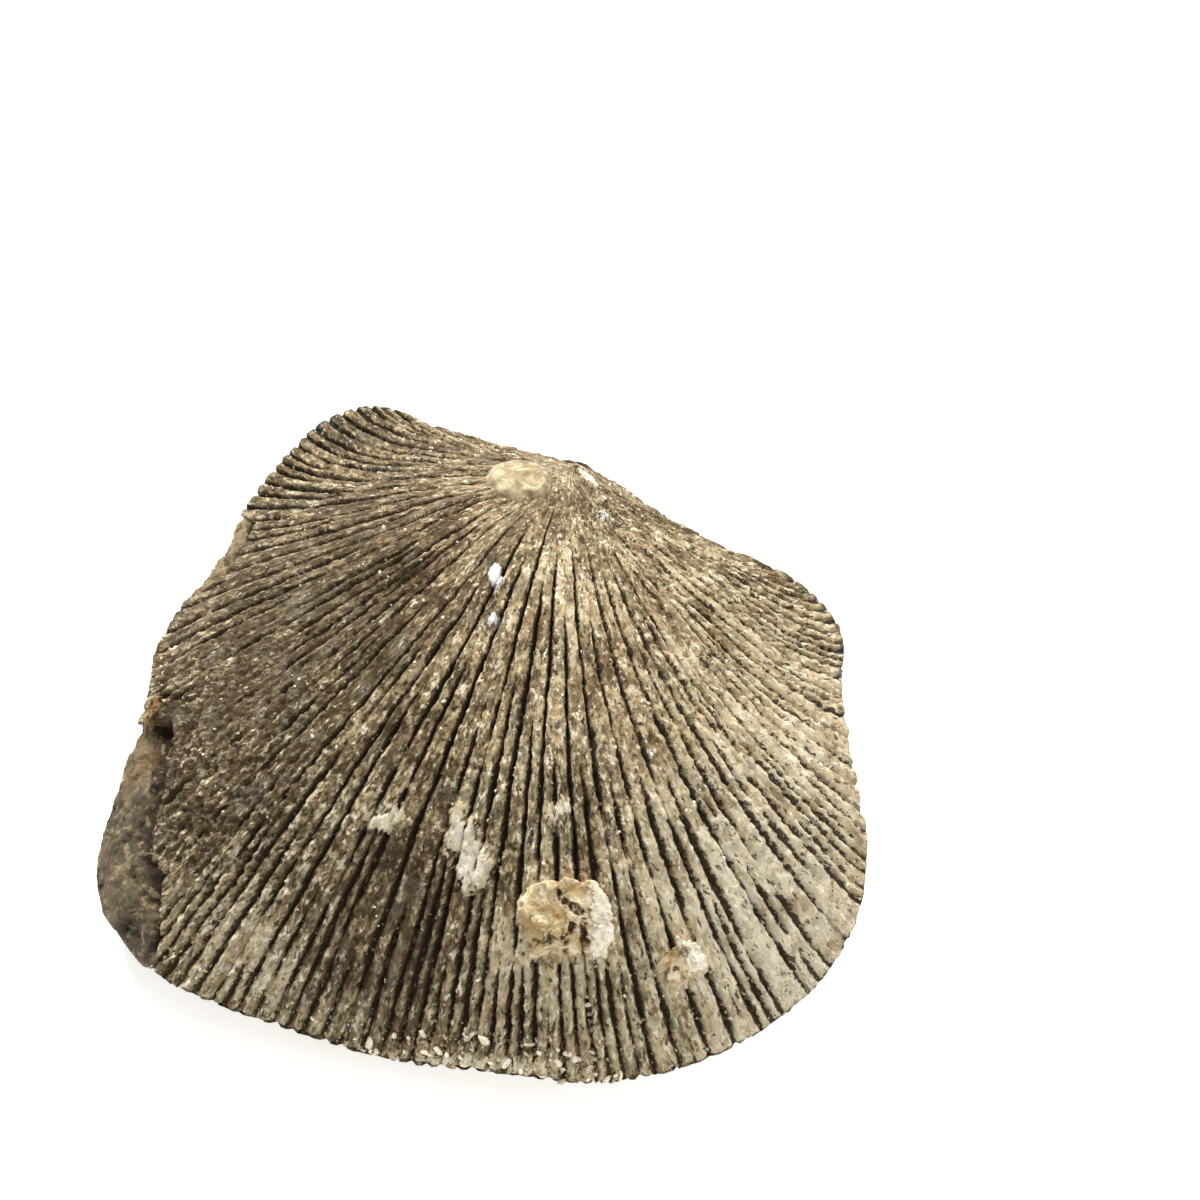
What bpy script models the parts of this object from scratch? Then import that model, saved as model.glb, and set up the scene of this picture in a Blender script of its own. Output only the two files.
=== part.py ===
"""A ribbed brachiopod fossil: both valves, the rock between them and the crusts on top, as one stone."""

import math

import bmesh
import bpy
import numpy as np

# Driving dimensions: millimetres in plan, with the hinge along X and the front towards -Y,
# and degrees round the tip of the upper valve.
SCALE = 0.001
BEAK = (-4.7, 20.6)                 # tip of the upper valve, where its ribs start
LOWER_BEAK = (-5.2, 20.6)           # where the lower valve's ribs start
APEX = (0.5, 5.0)                   # highest point of the dome
BELLY = (0.5, 1.5)                  # lowest point of the lower valve
COMMISSURE = 5.0                    # height of the upper valve's edge
DOME_HEIGHT = 12.4                  # of the upper valve above its edge
DOME_POWER = 2.2
BELLY_DEPTH = 5.7                   # of the lower valve below its edge, before the worn flat at the bottom
BELLY_POWER = 2.4
MIDLINE = -66.0                     # direction of the straight rib in the middle
FAN_START = (0.2, 0.45)             # left and right: share of its last direction at which a rib leaves the beak
FAN_POWER = (0.5, 1.6)              # left and right: how late it turns the rest of the way
FAN_BLEND = 25.0                    # degrees beside the midline over which left becomes right
FAN_WING = (50.0, 75.0, 0.8)        # right of the midline, from one turn to the next that share grows to this
FAN_HINGE = (92.0, 130.0)           # degrees from the midline between which ribs become straight
LAST_RIB_RIGHT = 10.5               # directions where the ribs stop, on the hinge
LAST_RIB_LEFT = -187.0
WINGS = ((-24.5, 19.5, 11.0), (18.5, 21.5, 9.0))   # where the dome lies flat: x, y and radius
WING_FLAT = 0.7
BEAK_RISE = 1.4
BEAK_RADIUS = 5.0

# The shell's edge from the back of the beak by way of the left wing.
EDGE = (
    (-5.6, 23.5), (-8.4, 22.4), (-11.4, 22.1), (-16.1, 21.8), (-21.0, 21.5), (-23.8, 18.9),
    (-24.9, 14.7), (-25.1, 9.1), (-24.4, 4.6), (-24.7, 0.6), (-24.2, -3.4), (-22.3, -7.0),
    (-21.6, -11.2), (-20.4, -15.4), (-18.7, -18.8), (-15.7, -20.9), (-11.6, -22.3), (-6.2, -22.2),
    (1.4, -20.7), (9.0, -18.4), (16.4, -15.8), (21.6, -11.2), (25.1, -5.6), (26.4, 0.4),
    (25.0, 6.4), (21.9, 11.0), (18.9, 15.7), (17.0, 19.9), (14.2, 21.9), (10.6, 22.7),
    (5.2, 22.4), (0.0, 22.7), (-3.4, 23.1),
)
EDGE_STEPS = 40                     # of the curve between two of those points

# A groove starts where the ribs beside it have grown wide, and each first rib splits in two.
FIRST_RIBS = 37
WIDEST_RIB = 1.4                    # width at which a rib splits
WING_NARROW = 0.5                   # of that width, past the turns of the wing
START_VARIES = (0.8, 1.25)          # of that width, from groove to groove
FIRST_STARTS = (0.12, 0.5, 0.25, 0.5)       # shares of that width at which four neighbouring grooves start
WIDTH_STEPS = 80
RIB_VARIES = 0.15
GROOVE_DEPTH = 0.5
GROOVE_START = (0.05, 0.35)         # shares of the way out between which a groove deepens
LOWER_DEPTH = 0.8                   # of the lower valve's grooves, against the upper's
RIB_REACH = 0.2                     # how far a rib's end stands out past the grooves beside it
SPLIT_RUN = 0.12
HINGE_COLUMNS = 22
SEED = 7
SLOPE_STEP = 0.05                   # over which a surface's slope is measured

# Folds towards the front edge: degrees from the midline, half width and height.
FOLDS = ((5.0, 9.0, 1.3), (-11.0, 7.0, -1.0), (-27.0, 9.0, 0.5))

# Pieces broken off the upper valve: directions with the share of the way that is left there,
# the height of the break, and the height of the rock under it at the edge.
BREAKS = (
    (
        (
            (-120.5, 1.0), (-119.0, 0.915), (-117.5, 0.885), (-113.5, 0.862), (-110.0, 0.878),
            (-106.0, 0.9), (-103.0, 0.925), (-101.0, 0.955), (-98.8, 1.0),
        ),
        2.4,
        3.4,
    ),
    (((-149.6, 1.0), (-148.6, 0.935), (-143.0, 0.925), (-136.8, 0.935), (-135.6, 1.0)), 1.3, 4.2),
)
LEAST_DROP = 0.25                   # of a break at its two ends

# Crusts grown on the dome: x, y, half length, half width, turn in degrees and height.
CRUSTS = (
    (11.4, -9.35, 2.75, 1.98, 27.0, 0.95),
    (18.3, -7.4, 1.25, 1.1, 60.0, 0.4),
    (-6.25, 16.5, 2.35, 3.0, 32.0, 0.42),
)
CRUST_SHOULDER = (0.55, 1.25)       # where a crust falls away, as a share of its half length

# Where the valves meet: the lower valve's edge is this far under the upper's, with a groove between.
VALVE_GAP = 0.7
GROOVE_INSET = 0.55
GROOVE_ROOF = 0.2
GROOVE_FLOOR = 0.5
TIP_RISE = 1.6                      # of the lower beak's tip, behind the upper beak
TIP_WIDTH = 3.0
UNDERCUT = 0.012                    # share of the way that a break slopes back
ROCK_BULGE = 0.8                    # of the bare rock under a break

# Shares of the way from a beak to the edge.
UPPER_ROWS = (
    0.06, 0.12, 0.18, 0.25, 0.32, 0.39, 0.46, 0.53, 0.6, 0.66, 0.72, 0.765, 0.81, 0.855, 0.9, 0.95, 1.0,
)
LOWER_ROWS = (0.95, 0.87, 0.76, 0.64, 0.5, 0.36, 0.22, 0.1)


def smooth(low, high, value):
    """0 below low, 1 above high and smooth between."""
    share = np.clip((value - low) / (high - low), 0.0, 1.0)
    return share * share * (3.0 - 2.0 * share)


def edge_curve():
    """A dense closed curve through the points of the edge."""
    point = np.array(EDGE)
    before = np.roll(point, 1, axis=0)
    after = np.roll(point, -1, axis=0)
    second = np.roll(point, -2, axis=0)
    share = np.linspace(0.0, 1.0, EDGE_STEPS, endpoint=False)[:, None, None]
    curve = 0.5 * (
        2.0 * point
        + (after - before) * share
        + (2.0 * before - 5.0 * point + 4.0 * after - second) * share ** 2
        + (3.0 * point - before - 3.0 * after + second) * share ** 3
    )
    return curve.transpose(1, 0, 2).reshape(-1, 2)


def directions(curve, centre):
    """Direction of each point of the curve from the centre, in degrees from 0 to 360."""
    return np.degrees(np.arctan2(curve[:, 1] - centre[1], curve[:, 0] - centre[0])) % 360.0


def reach_table(curve, centre):
    """Distance of the edge from the centre in every direction."""
    direction = directions(curve, centre)
    order = np.argsort(direction)
    return direction[order], np.hypot(*(curve - np.array(centre)).T)[order]


CURVE = edge_curve()
REACH = {centre: reach_table(CURVE, centre) for centre in (BEAK, LOWER_BEAK, APEX, BELLY)}


def reach(centre, direction):
    return np.interp(direction % 360.0, *REACH[centre], period=360.0)


def share_out(x, y, centre):
    """0 at the centre and 1 at the edge, with the edge's small bays evened out."""
    direction = math.degrees(math.atan2(y - centre[1], x - centre[0]))
    mean = np.mean([reach(centre, direction + turn) for turn in (-12.0, -6.0, 0.0, 6.0, 12.0)])
    return min(1.0, math.hypot(x - centre[0], y - centre[1]) / mean)


def folds(x, y):
    """Height that the folds add to both valves."""
    direction = math.degrees(math.atan2(y - BEAK[1], x - BEAK[0]))
    out = math.hypot(x - BEAK[0], y - BEAK[1]) / reach(BEAK, direction)
    return sum(
        height * out ** 2 * math.exp(-((direction - MIDLINE - turn) / width) ** 2)
        for turn, width, height in FOLDS
    )


def upper(x, y):
    """Height of the upper valve without its ribs."""
    rise = DOME_HEIGHT * (1.0 - share_out(x, y, APEX) ** DOME_POWER)
    rise += BEAK_RISE * math.exp(-((x - BEAK[0]) ** 2 + (y - BEAK[1]) ** 2) / BEAK_RADIUS ** 2)
    for wing_x, wing_y, radius in WINGS:
        rise *= 1.0 - WING_FLAT * math.exp(-((x - wing_x) ** 2 + (y - wing_y) ** 2) / radius ** 2)
    rise += folds(x, y)
    for crust_x, crust_y, length, width, turn, height in CRUSTS:
        cosine = math.cos(math.radians(turn))
        sine = math.sin(math.radians(turn))
        along = ((x - crust_x) * cosine + (y - crust_y) * sine) / length
        across = ((y - crust_y) * cosine - (x - crust_x) * sine) / width
        rise += height * (1.0 - smooth(*CRUST_SHOULDER, math.hypot(along, across)))
    return COMMISSURE + rise


def lower(x, y):
    """Height of the lower valve without its ribs."""
    depth = BELLY_DEPTH * (1.0 - share_out(x, y, BELLY) ** BELLY_POWER)
    return COMMISSURE - VALVE_GAP + folds(x, y) - depth


def columns():
    """Columns of points round the shell: direction of its end, whether a groove, and where it starts."""
    rng = np.random.default_rng(SEED)
    widths = rng.uniform(1.0 - RIB_VARIES, 1.0 + RIB_VARIES, FIRST_RIBS)
    ends = LAST_RIB_RIGHT + (LAST_RIB_LEFT - LAST_RIB_RIGHT) * np.insert(np.cumsum(widths), 0, 0.0) / widths.sum()
    shares = np.linspace(0.0, 1.0, WIDTH_STEPS)
    lines = np.array([[along(BEAK, end, share) for share in shares] for end in ends])
    wide = np.maximum.accumulate(np.hypot(*np.moveaxis(np.diff(lines, axis=0), 2, 0)), axis=1)
    vary = rng.uniform(*START_VARIES, (2, FIRST_RIBS + 1))
    narrow = mixed((1.0, WING_NARROW), smooth(*FAN_WING[:2], ends - MIDLINE))

    def start_at(rib, limit):
        return float(np.interp(limit * WIDEST_RIB * narrow[rib], wide[rib], shares, right=2.0))

    starts = [
        start_at(min(groove, FIRST_RIBS - 1), FIRST_STARTS[groove % 4] * vary[0, groove])
        for groove in range(FIRST_RIBS + 1)
    ]
    found = []
    for rib, (start, end) in enumerate(zip(ends, ends[1:])):
        quarter = (end - start) / 4.0
        found.append((start, True, starts[rib]))
        found.append((start + quarter, False, 0.0))
        found.append((start + 2.0 * quarter, True, start_at(rib, vary[1, rib])))
        found.append((start + 3.0 * quarter, False, 0.0))
    found.append((ends[-1], True, starts[-1]))
    # No ribs start behind the beak: these columns end at even steps along the hinge.
    direction = (directions(CURVE, BEAK) - LAST_RIB_RIGHT) % 360.0 + LAST_RIB_RIGHT - 360.0
    hinge = CURVE[direction < LAST_RIB_LEFT]
    hinge = hinge[np.argsort(-direction[direction < LAST_RIB_LEFT])]
    run = np.insert(np.cumsum(np.hypot(*np.diff(hinge, axis=0).T)), 0, 0.0)
    for stop in np.linspace(0.0, run[-1], HINGE_COLUMNS + 2)[1:-1]:
        x = np.interp(stop, run, hinge[:, 0])
        y = np.interp(stop, run, hinge[:, 1])
        found.append((math.degrees(math.atan2(y - BEAK[1], x - BEAK[0])), False, 0.0))
    return found


def mixed(pair, share):
    return pair[0] + (pair[1] - pair[0]) * share


def along(centre, end, share, inset=0.0):
    """Plan point on the way out from a beak to the edge."""
    turn = (end - MIDLINE + 180.0) % 360.0 - 180.0
    right = smooth(-FAN_BLEND, FAN_BLEND, turn)
    start = mixed(FAN_START, right)
    from_turn, to_turn, wing_start = FAN_WING
    start += max(wing_start - start, 0.0) * smooth(from_turn, to_turn, turn)
    start += (1.0 - start) * smooth(*FAN_HINGE, abs(turn))
    length = reach(centre, end)
    way = (length - inset) * share
    turned = start + (1.0 - start) * (way / length) ** mixed(FAN_POWER, right)
    direction = math.radians(MIDLINE + turn * turned)
    return centre[0] + way * math.cos(direction), centre[1] + way * math.sin(direction)


def lifted(surface, x, y, amount):
    """A point over (x, y), moved off the surface along its normal."""
    step = SLOPE_STEP
    slope_x = (surface(x + step, y) - surface(x - step, y)) / (2.0 * step)
    slope_y = (surface(x, y + step) - surface(x, y - step)) / (2.0 * step)
    size = math.sqrt(1.0 + slope_x ** 2 + slope_y ** 2)
    return x - slope_x * amount / size, y - slope_y * amount / size, surface(x, y) + amount / size


def broken(end):
    """What a break leaves of a column's way, how deep it drops and the height of the rock, or None."""
    for line, drop, sill in BREAKS:
        turns, shares = zip(*line)
        if turns[0] < end < turns[-1]:
            here = smooth(turns[0], turns[1], end) * smooth(turns[-1], turns[-2], end)
            rim = COMMISSURE - VALVE_GAP
            return float(np.interp(end, turns, shares)), mixed((LEAST_DROP, drop), here), mixed((rim, sill), here)
    return None


def groove_depth(share, groove, split):
    depth = GROOVE_DEPTH * smooth(*GROOVE_START, share) if groove else 0.0
    return depth * smooth(split, split + SPLIT_RUN, share) if split else depth


def upper_column(end, groove, split):
    """Points from near the beak to the valve's edge."""
    gap = broken(end)
    left = gap[0] if gap else 1.0
    points = []
    for row in UPPER_ROWS:
        share = row * left
        end_out = RIB_REACH * (0.5 - groove) * smooth(0.8, 1.0, share) if left == 1.0 else 0.0
        x, y = along(BEAK, end, share, -end_out)
        points.append(lifted(upper, x, y, -groove_depth(share, groove, split)))
    return points


def rim_column(end, groove):
    """Points past the upper valve's edge, down over the groove between the valves to the lower valve."""
    gap = broken(end)
    if gap:
        share, drop, sill = gap
        x, y = along(BEAK, end, share - UNDERCUT)
        foot = upper(x, y) - drop
        middle = along(BEAK, end, (1.0 + share) / 2.0)
        return [(x, y, foot), (*middle, (foot + sill) / 2.0 + ROCK_BULGE), (*along(BEAK, end, 1.0), sill)]
    x, y = along(BEAK, end, 1.0)
    line = COMMISSURE + folds(x, y)
    # Behind the beak the lower valve's tip stands up and the groove is a shallow step.
    tip = math.exp(-((x - LOWER_BEAK[0]) / TIP_WIDTH) ** 2) if y > BEAK[1] + 1.0 else 0.0
    roof = along(BEAK, end, 1.0, GROOVE_INSET * (1.0 + tip))
    floor = along(BEAK, end, 1.0, GROOVE_INSET)
    return [
        (*roof, line - GROOVE_ROOF * (1.0 - tip)),
        (*floor, line - GROOVE_FLOOR + 0.6 * TIP_RISE * tip),
        (*along(BEAK, end, 1.0, RIB_REACH * groove), line - VALVE_GAP + TIP_RISE * tip),
    ]


def lower_column(start, groove, split):
    """Points from the edge to near the lower beak, worn flat where the stone rests."""
    end = math.degrees(math.atan2(start[1] - LOWER_BEAK[1], start[0] - LOWER_BEAK[0]))
    points = []
    for share in LOWER_ROWS:
        x, y = along(LOWER_BEAK, end, share)
        depth = LOWER_DEPTH * groove_depth(share, groove, split)
        x, y, height = lifted(lower, x, y, depth)
        points.append((x, y, max(height, 0.0)))
    return points


def stone_mesh():
    shell = bmesh.new()
    rings = []
    for end, groove, split in columns():
        points = upper_column(end, groove, split) + rim_column(end, groove)
        points += lower_column(points[-1], groove, split)
        rings.append([shell.verts.new(point) for point in points])
    top = shell.verts.new((*BEAK, upper(*BEAK)))
    bottom = shell.verts.new((*LOWER_BEAK, max(lower(*LOWER_BEAK), 0.0)))
    for one, two in zip(rings, rings[1:] + rings[:1]):
        shell.faces.new((top, one[0], two[0]))
        shell.faces.new((bottom, two[-1], one[-1]))
        for low, high in zip(range(len(one) - 1), range(1, len(one))):
            shell.faces.new((one[low], one[high], two[high], two[low]))
    bmesh.ops.recalc_face_normals(shell, faces=shell.faces)
    # The origin is under the middle of the stone, at the height that it rests on.
    corners = np.array([vert.co for vert in shell.verts])
    middle = (corners.min(axis=0) + corners.max(axis=0)) / 2.0
    bmesh.ops.translate(shell, verts=shell.verts, vec=(-middle[0], -middle[1], -corners[:, 2].min()))
    bmesh.ops.scale(shell, verts=shell.verts, vec=(SCALE, SCALE, SCALE))
    return shell


def stone_material():
    material = bpy.data.materials.new("fossil limestone")
    material.use_nodes = True
    surface = material.node_tree.nodes["Principled BSDF"]
    surface.inputs["Base Color"].default_value = (0.30, 0.23, 0.15, 1.0)
    surface.inputs["Roughness"].default_value = 0.85
    surface.inputs["Metallic"].default_value = 0.0
    return material


def main():
    for old in list(bpy.data.objects):
        bpy.data.objects.remove(old, do_unlink=True)
    mesh = bpy.data.meshes.new("brachiopod")
    shell = stone_mesh()
    shell.to_mesh(mesh)
    shell.free()
    mesh.materials.append(stone_material())
    for face in mesh.polygons:
        face.use_smooth = True
    fossil = bpy.data.objects.new("brachiopod", mesh)
    bpy.context.scene.collection.objects.link(fossil)


main()
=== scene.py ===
import math

import bpy
import numpy as np
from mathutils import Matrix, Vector


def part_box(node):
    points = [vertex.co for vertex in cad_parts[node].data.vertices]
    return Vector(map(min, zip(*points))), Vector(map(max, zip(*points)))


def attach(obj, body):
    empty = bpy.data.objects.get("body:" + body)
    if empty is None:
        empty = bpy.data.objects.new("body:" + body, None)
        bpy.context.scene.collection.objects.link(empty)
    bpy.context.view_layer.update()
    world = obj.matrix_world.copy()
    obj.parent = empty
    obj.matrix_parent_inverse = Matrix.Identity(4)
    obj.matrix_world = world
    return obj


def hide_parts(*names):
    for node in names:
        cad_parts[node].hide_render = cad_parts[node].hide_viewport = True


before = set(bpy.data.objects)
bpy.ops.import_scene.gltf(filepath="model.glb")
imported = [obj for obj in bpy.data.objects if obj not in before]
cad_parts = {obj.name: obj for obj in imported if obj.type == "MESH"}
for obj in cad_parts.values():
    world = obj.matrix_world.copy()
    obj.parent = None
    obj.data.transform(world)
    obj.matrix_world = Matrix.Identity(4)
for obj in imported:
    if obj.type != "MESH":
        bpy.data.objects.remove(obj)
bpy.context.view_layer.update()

mm = 0.001

# the whole shell, in millimetres and degrees, the same shape as the solid
shell = {
    "beak": (-4.7, 20.6),
    "lowerBeak": (-5.2, 20.6),
    "apex": (0.5, 5.0),
    "belly": (0.5, 1.5),
    "edgeHeight": 5.0,
    "domeHeight": 12.4,
    "domePower": 2.2,
    "bellyDepth": 5.7,
    "bellyPower": 2.4,
    "midline": -66.0,
    "fanStart": (0.2, 0.45),        # left and right of the midline
    "fanPower": (0.5, 1.6),
    "fanBlend": 25.0,
    "fanWing": (50.0, 75.0, 0.8),   # right of the midline, from one turn to the next the start grows to this
    "fanHinge": (92.0, 130.0),
    "lastRibRight": 10.5,
    "lastRibLeft": -187.0,
    "wings": ((-24.5, 19.5, 11.0), (18.5, 21.5, 9.0)),
    "wingFlat": 0.7,
    "beakRise": 1.4,
    "beakRadius": 5.0,
    "folds": ((5.0, 9.0, 1.3), (-11.0, 7.0, -1.0), (-27.0, 9.0, 0.5)),
    # pieces broken off the upper valve: turns and the share of the way left there, the drop and the sill
    "breaks": (
        (
            ((-120.5, 1.0), (-119.0, 0.915), (-117.5, 0.885), (-113.5, 0.862), (-110.0, 0.878), (-106.0, 0.9),
             (-103.0, 0.925), (-101.0, 0.955), (-98.8, 1.0)),
            2.4,
            3.4,
        ),
        (((-149.6, 1.0), (-148.6, 0.935), (-143.0, 0.925), (-136.8, 0.935), (-135.6, 1.0)), 1.3, 4.2),
    ),
    "leastDrop": 0.25,
    "valveGap": 0.7,
    "grooveInset": 0.55,
    "edge": (
        (-5.6, 23.5), (-8.4, 22.4), (-11.4, 22.1), (-16.1, 21.8), (-21.0, 21.5), (-23.8, 18.9),
        (-24.9, 14.7), (-25.1, 9.1), (-24.4, 4.6), (-24.7, 0.6), (-24.2, -3.4), (-22.3, -7.0),
        (-21.6, -11.2), (-20.4, -15.4), (-18.7, -18.8), (-15.7, -20.9), (-11.6, -22.3), (-6.2, -22.2),
        (1.4, -20.7), (9.0, -18.4), (16.4, -15.8), (21.6, -11.2), (25.1, -5.6), (26.4, 0.4),
        (25.0, 6.4), (21.9, 11.0), (18.9, 15.7), (17.0, 19.9), (14.2, 21.9), (10.6, 22.7),
        (5.2, 22.4), (0.0, 22.7), (-3.4, 23.1),
    ),
    "edgeSteps": 40,
}

# the ribs: a new groove starts wherever they have grown too wide
ribs = {
    "count": 37,
    "varies": 0.15,
    "widest": 1.4,
    "wingNarrow": 0.5,              # of that width, past the turns of the wing
    "firstStarts": (0.12, 0.5, 0.25, 0.5),      # of that width, where four neighbouring grooves start
    "startVaries": (0.8, 1.25),
    "startRun": 0.12,
    "measuredAt": 80,
    "hingePitch": 4.0,
    "splitPlace": (0.42, 0.58),
    "columnsEach": 28,
    "hingeColumns": 60,
    "seed": 7,
}


# ---- shape of the shell ----

def smoothStep(low, high, value):
    share = np.clip((np.asarray(value, float) - low) / (high - low), 0.0, 1.0)
    return share * share * (3.0 - 2.0 * share)


def edgeCurve():
    point = np.array(shell["edge"])
    before, after, second = (np.roll(point, turn, axis=0) for turn in (1, -1, -2))
    t = np.linspace(0.0, 1.0, shell["edgeSteps"], endpoint=False)[:, None, None]
    line = 0.5 * (
        2.0 * point
        + (after - before) * t
        + (2.0 * before - 5.0 * point + 4.0 * after - second) * t ** 2
        + (3.0 * point - before - 3.0 * after + second) * t ** 3
    )
    return line.transpose(1, 0, 2).reshape(-1, 2)


def directionFrom(centre, x, y):
    return np.degrees(np.arctan2(y - centre[1], x - centre[0]))


curve = edgeCurve()
reachTables = {}
for centre in (shell["beak"], shell["lowerBeak"], shell["apex"], shell["belly"]):
    turns = directionFrom(centre, curve[:, 0], curve[:, 1]) % 360.0
    order = np.argsort(turns)
    lengths = np.hypot(curve[:, 0] - centre[0], curve[:, 1] - centre[1])
    reachTables[centre] = (turns[order], lengths[order])


def reach(centre, direction):
    return np.interp(np.asarray(direction) % 360.0, *reachTables[centre], period=360.0)


def shareOut(x, y, centre):     # 0 at the centre and 1 at the edge
    direction = directionFrom(centre, x, y)
    mean = np.mean([reach(centre, direction + turn) for turn in (-12.0, -6.0, 0.0, 6.0, 12.0)], axis=0)
    return np.minimum(1.0, np.hypot(x - centre[0], y - centre[1]) / mean)


def foldHeight(x, y):
    direction = directionFrom(shell["beak"], x, y)
    out = np.hypot(x - shell["beak"][0], y - shell["beak"][1]) / reach(shell["beak"], direction)
    total = 0.0
    for turn, width, height in shell["folds"]:
        total = total + height * out ** 2 * np.exp(-((direction - shell["midline"] - turn) / width) ** 2)
    return total


def upperHeight(x, y):
    rise = shell["domeHeight"] * (1.0 - shareOut(x, y, shell["apex"]) ** shell["domePower"])
    fromBeak = (x - shell["beak"][0]) ** 2 + (y - shell["beak"][1]) ** 2
    rise = rise + shell["beakRise"] * np.exp(-fromBeak / shell["beakRadius"] ** 2)
    for wingX, wingY, radius in shell["wings"]:
        away = (x - wingX) ** 2 + (y - wingY) ** 2
        rise = rise * (1.0 - shell["wingFlat"] * np.exp(-away / radius ** 2))
    return shell["edgeHeight"] + rise + foldHeight(x, y)


def lowerHeight(x, y):
    depth = shell["bellyDepth"] * (1.0 - shareOut(x, y, shell["belly"]) ** shell["bellyPower"])
    return shell["edgeHeight"] - shell["valveGap"] + foldHeight(x, y) - depth


def normalOf(surface, x, y, step=0.1):
    slopeX = (surface(x + step, y) - surface(x - step, y)) / (2.0 * step)
    slopeY = (surface(x, y + step) - surface(x, y - step)) / (2.0 * step)
    size = np.sqrt(1.0 + slopeX ** 2 + slopeY ** 2)
    return np.stack((-slopeX / size, -slopeY / size, 1.0 / size), axis=-1)


def along(centre, end, share, inset=0.0):      # plan point on the way out from a beak
    turn = (end - shell["midline"] + 180.0) % 360.0 - 180.0
    right = smoothStep(-shell["fanBlend"], shell["fanBlend"], turn)
    start, power = (low + (high - low) * right for low, high in (shell["fanStart"], shell["fanPower"]))
    fromTurn, toTurn, wingStart = shell["fanWing"]
    start = start + np.maximum(wingStart - start, 0.0) * smoothStep(fromTurn, toTurn, turn)
    start = start + (1.0 - start) * smoothStep(*shell["fanHinge"], np.abs(turn))
    length = reach(centre, end)
    way = (length - inset) * share
    direction = np.radians(shell["midline"] + turn * (start + (1.0 - start) * (way / length) ** power))
    return centre[0] + way * np.cos(direction), centre[1] + way * np.sin(direction)


# ---- columns of points round the shell ----

columnLabels = ("rib", "place", "startRight", "startLeft", "split", "splitRight", "splitLeft", "middle", "ribbed")


def shellColumns(columnsEach):
    rng = np.random.default_rng(ribs["seed"])
    widths = rng.uniform(1.0 - ribs["varies"], 1.0 + ribs["varies"], ribs["count"])
    span = shell["lastRibLeft"] - shell["lastRibRight"]
    ends = shell["lastRibRight"] + span * np.insert(np.cumsum(widths), 0, 0.0) / widths.sum()
    # a rib this wide is the sign for each kind of groove to start
    share = np.linspace(0.0, 1.0, ribs["measuredAt"])
    x, y = along(shell["beak"], ends[:, None], share[None, :])
    wide = np.maximum.accumulate(np.hypot(np.diff(x, axis=0), np.diff(y, axis=0)), axis=1)
    vary = rng.uniform(*ribs["startVaries"], (4, ribs["count"] + 1))
    narrow = 1.0 - (1.0 - ribs["wingNarrow"]) * smoothStep(*shell["fanWing"][:2], ends - shell["midline"])

    def startAt(rib, limit):
        return np.interp(limit * ribs["widest"] * narrow[rib], wide[rib], share, right=2.0)

    starts = []
    for groove in range(ribs["count"] + 1):
        between = ribs["firstStarts"][groove % len(ribs["firstStarts"])]
        starts.append(startAt(min(groove, ribs["count"] - 1), between * vary[0, groove]))
    middles = rng.uniform(*ribs["splitPlace"], ribs["count"])
    rows = []
    for index in range(ribs["count"]):
        splits = [startAt(index, wider * vary[row, index]) for row, wider in ((1, 1.0), (2, 2.0), (3, 2.0))]
        own = (starts[index], starts[index + 1], *splits, middles[index], 1.0)
        for place in np.arange(columnsEach) / columnsEach:
            rows.append((ends[index] + (ends[index + 1] - ends[index]) * place, index, place, *own))
    rows.append((ends[-1], ribs["count"] - 1, 1.0, *own))
    # behind the beak, evenly by length along the hinge and without ribs
    first = shell["lastRibRight"]
    direction = (directionFrom(shell["beak"], curve[:, 0], curve[:, 1]) - first) % 360.0 + first - 360.0
    behind = direction < shell["lastRibLeft"]
    line = curve[behind][np.argsort(-direction[behind])]
    run = np.insert(np.cumsum(np.hypot(*np.diff(line, axis=0).T)), 0, 0.0)
    stops = np.linspace(0.0, run[-1], ribs["hingeColumns"] + 2)[1:-1]
    x = np.interp(stops, run, line[:, 0])
    y = np.interp(stops, run, line[:, 1])
    never = [2.0] * 5
    for end, stop in zip(directionFrom(shell["beak"], x, y), stops):
        rows.append((end, ribs["count"] - 1, stop / ribs["hingePitch"], *never, 0.5, 0.0))
    return dict(zip(("end", *columnLabels), np.array(rows).T))


def breakAt(end):       # share of the way left, drop, sill and how far inside a break, for every column
    wrapped = (np.asarray(end) + 180.0) % 360.0 - 180.0
    left = np.ones_like(wrapped)
    drop = np.full_like(wrapped, shell["leastDrop"])
    rim = shell["edgeHeight"] - shell["valveGap"]
    sill = np.full_like(wrapped, rim)
    inside = np.zeros_like(wrapped)
    for line, fall, height in shell["breaks"]:
        turns, shares = np.array(line).T
        left = np.minimum(left, np.interp(wrapped, turns, shares, left=1.0, right=1.0))
        here = smoothStep(turns[0], turns[1], wrapped) * smoothStep(turns[-1], turns[-2], wrapped)
        drop = drop + (fall - shell["leastDrop"]) * here
        sill = sill + (height - rim) * here
        inside = inside + here
    return left, drop, sill, inside


def softRandom(count, spread, seed):        # a closed row of random values, smoothed over its neighbours
    value = np.random.default_rng(seed).normal(size=count)
    reachOut = np.arange(-3 * spread, 3 * spread + 1)
    weight = np.exp(-(reachOut / spread) ** 2)
    value = np.convolve(np.concatenate((value, value, value)), weight, mode="same")[count:2 * count]
    return value / np.abs(value).max()


# ---- meshes ----

def toFrame(points):        # from the drawing's millimetres to the frame's metres
    low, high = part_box("brachiopod")
    middle = (curve.min(axis=0) + curve.max(axis=0)) / 2.0
    centre = ((low.x + high.x) / 2.0, (low.y + high.y) / 2.0)
    moved = (np.asarray(points, float) - (middle[0], middle[1], 0.0)) * mm
    return moved + (centre[0], centre[1], low.z)


upward = (0.0, 0.0, 1.0)
downward = (0.0, 0.0, -1.0)


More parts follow.
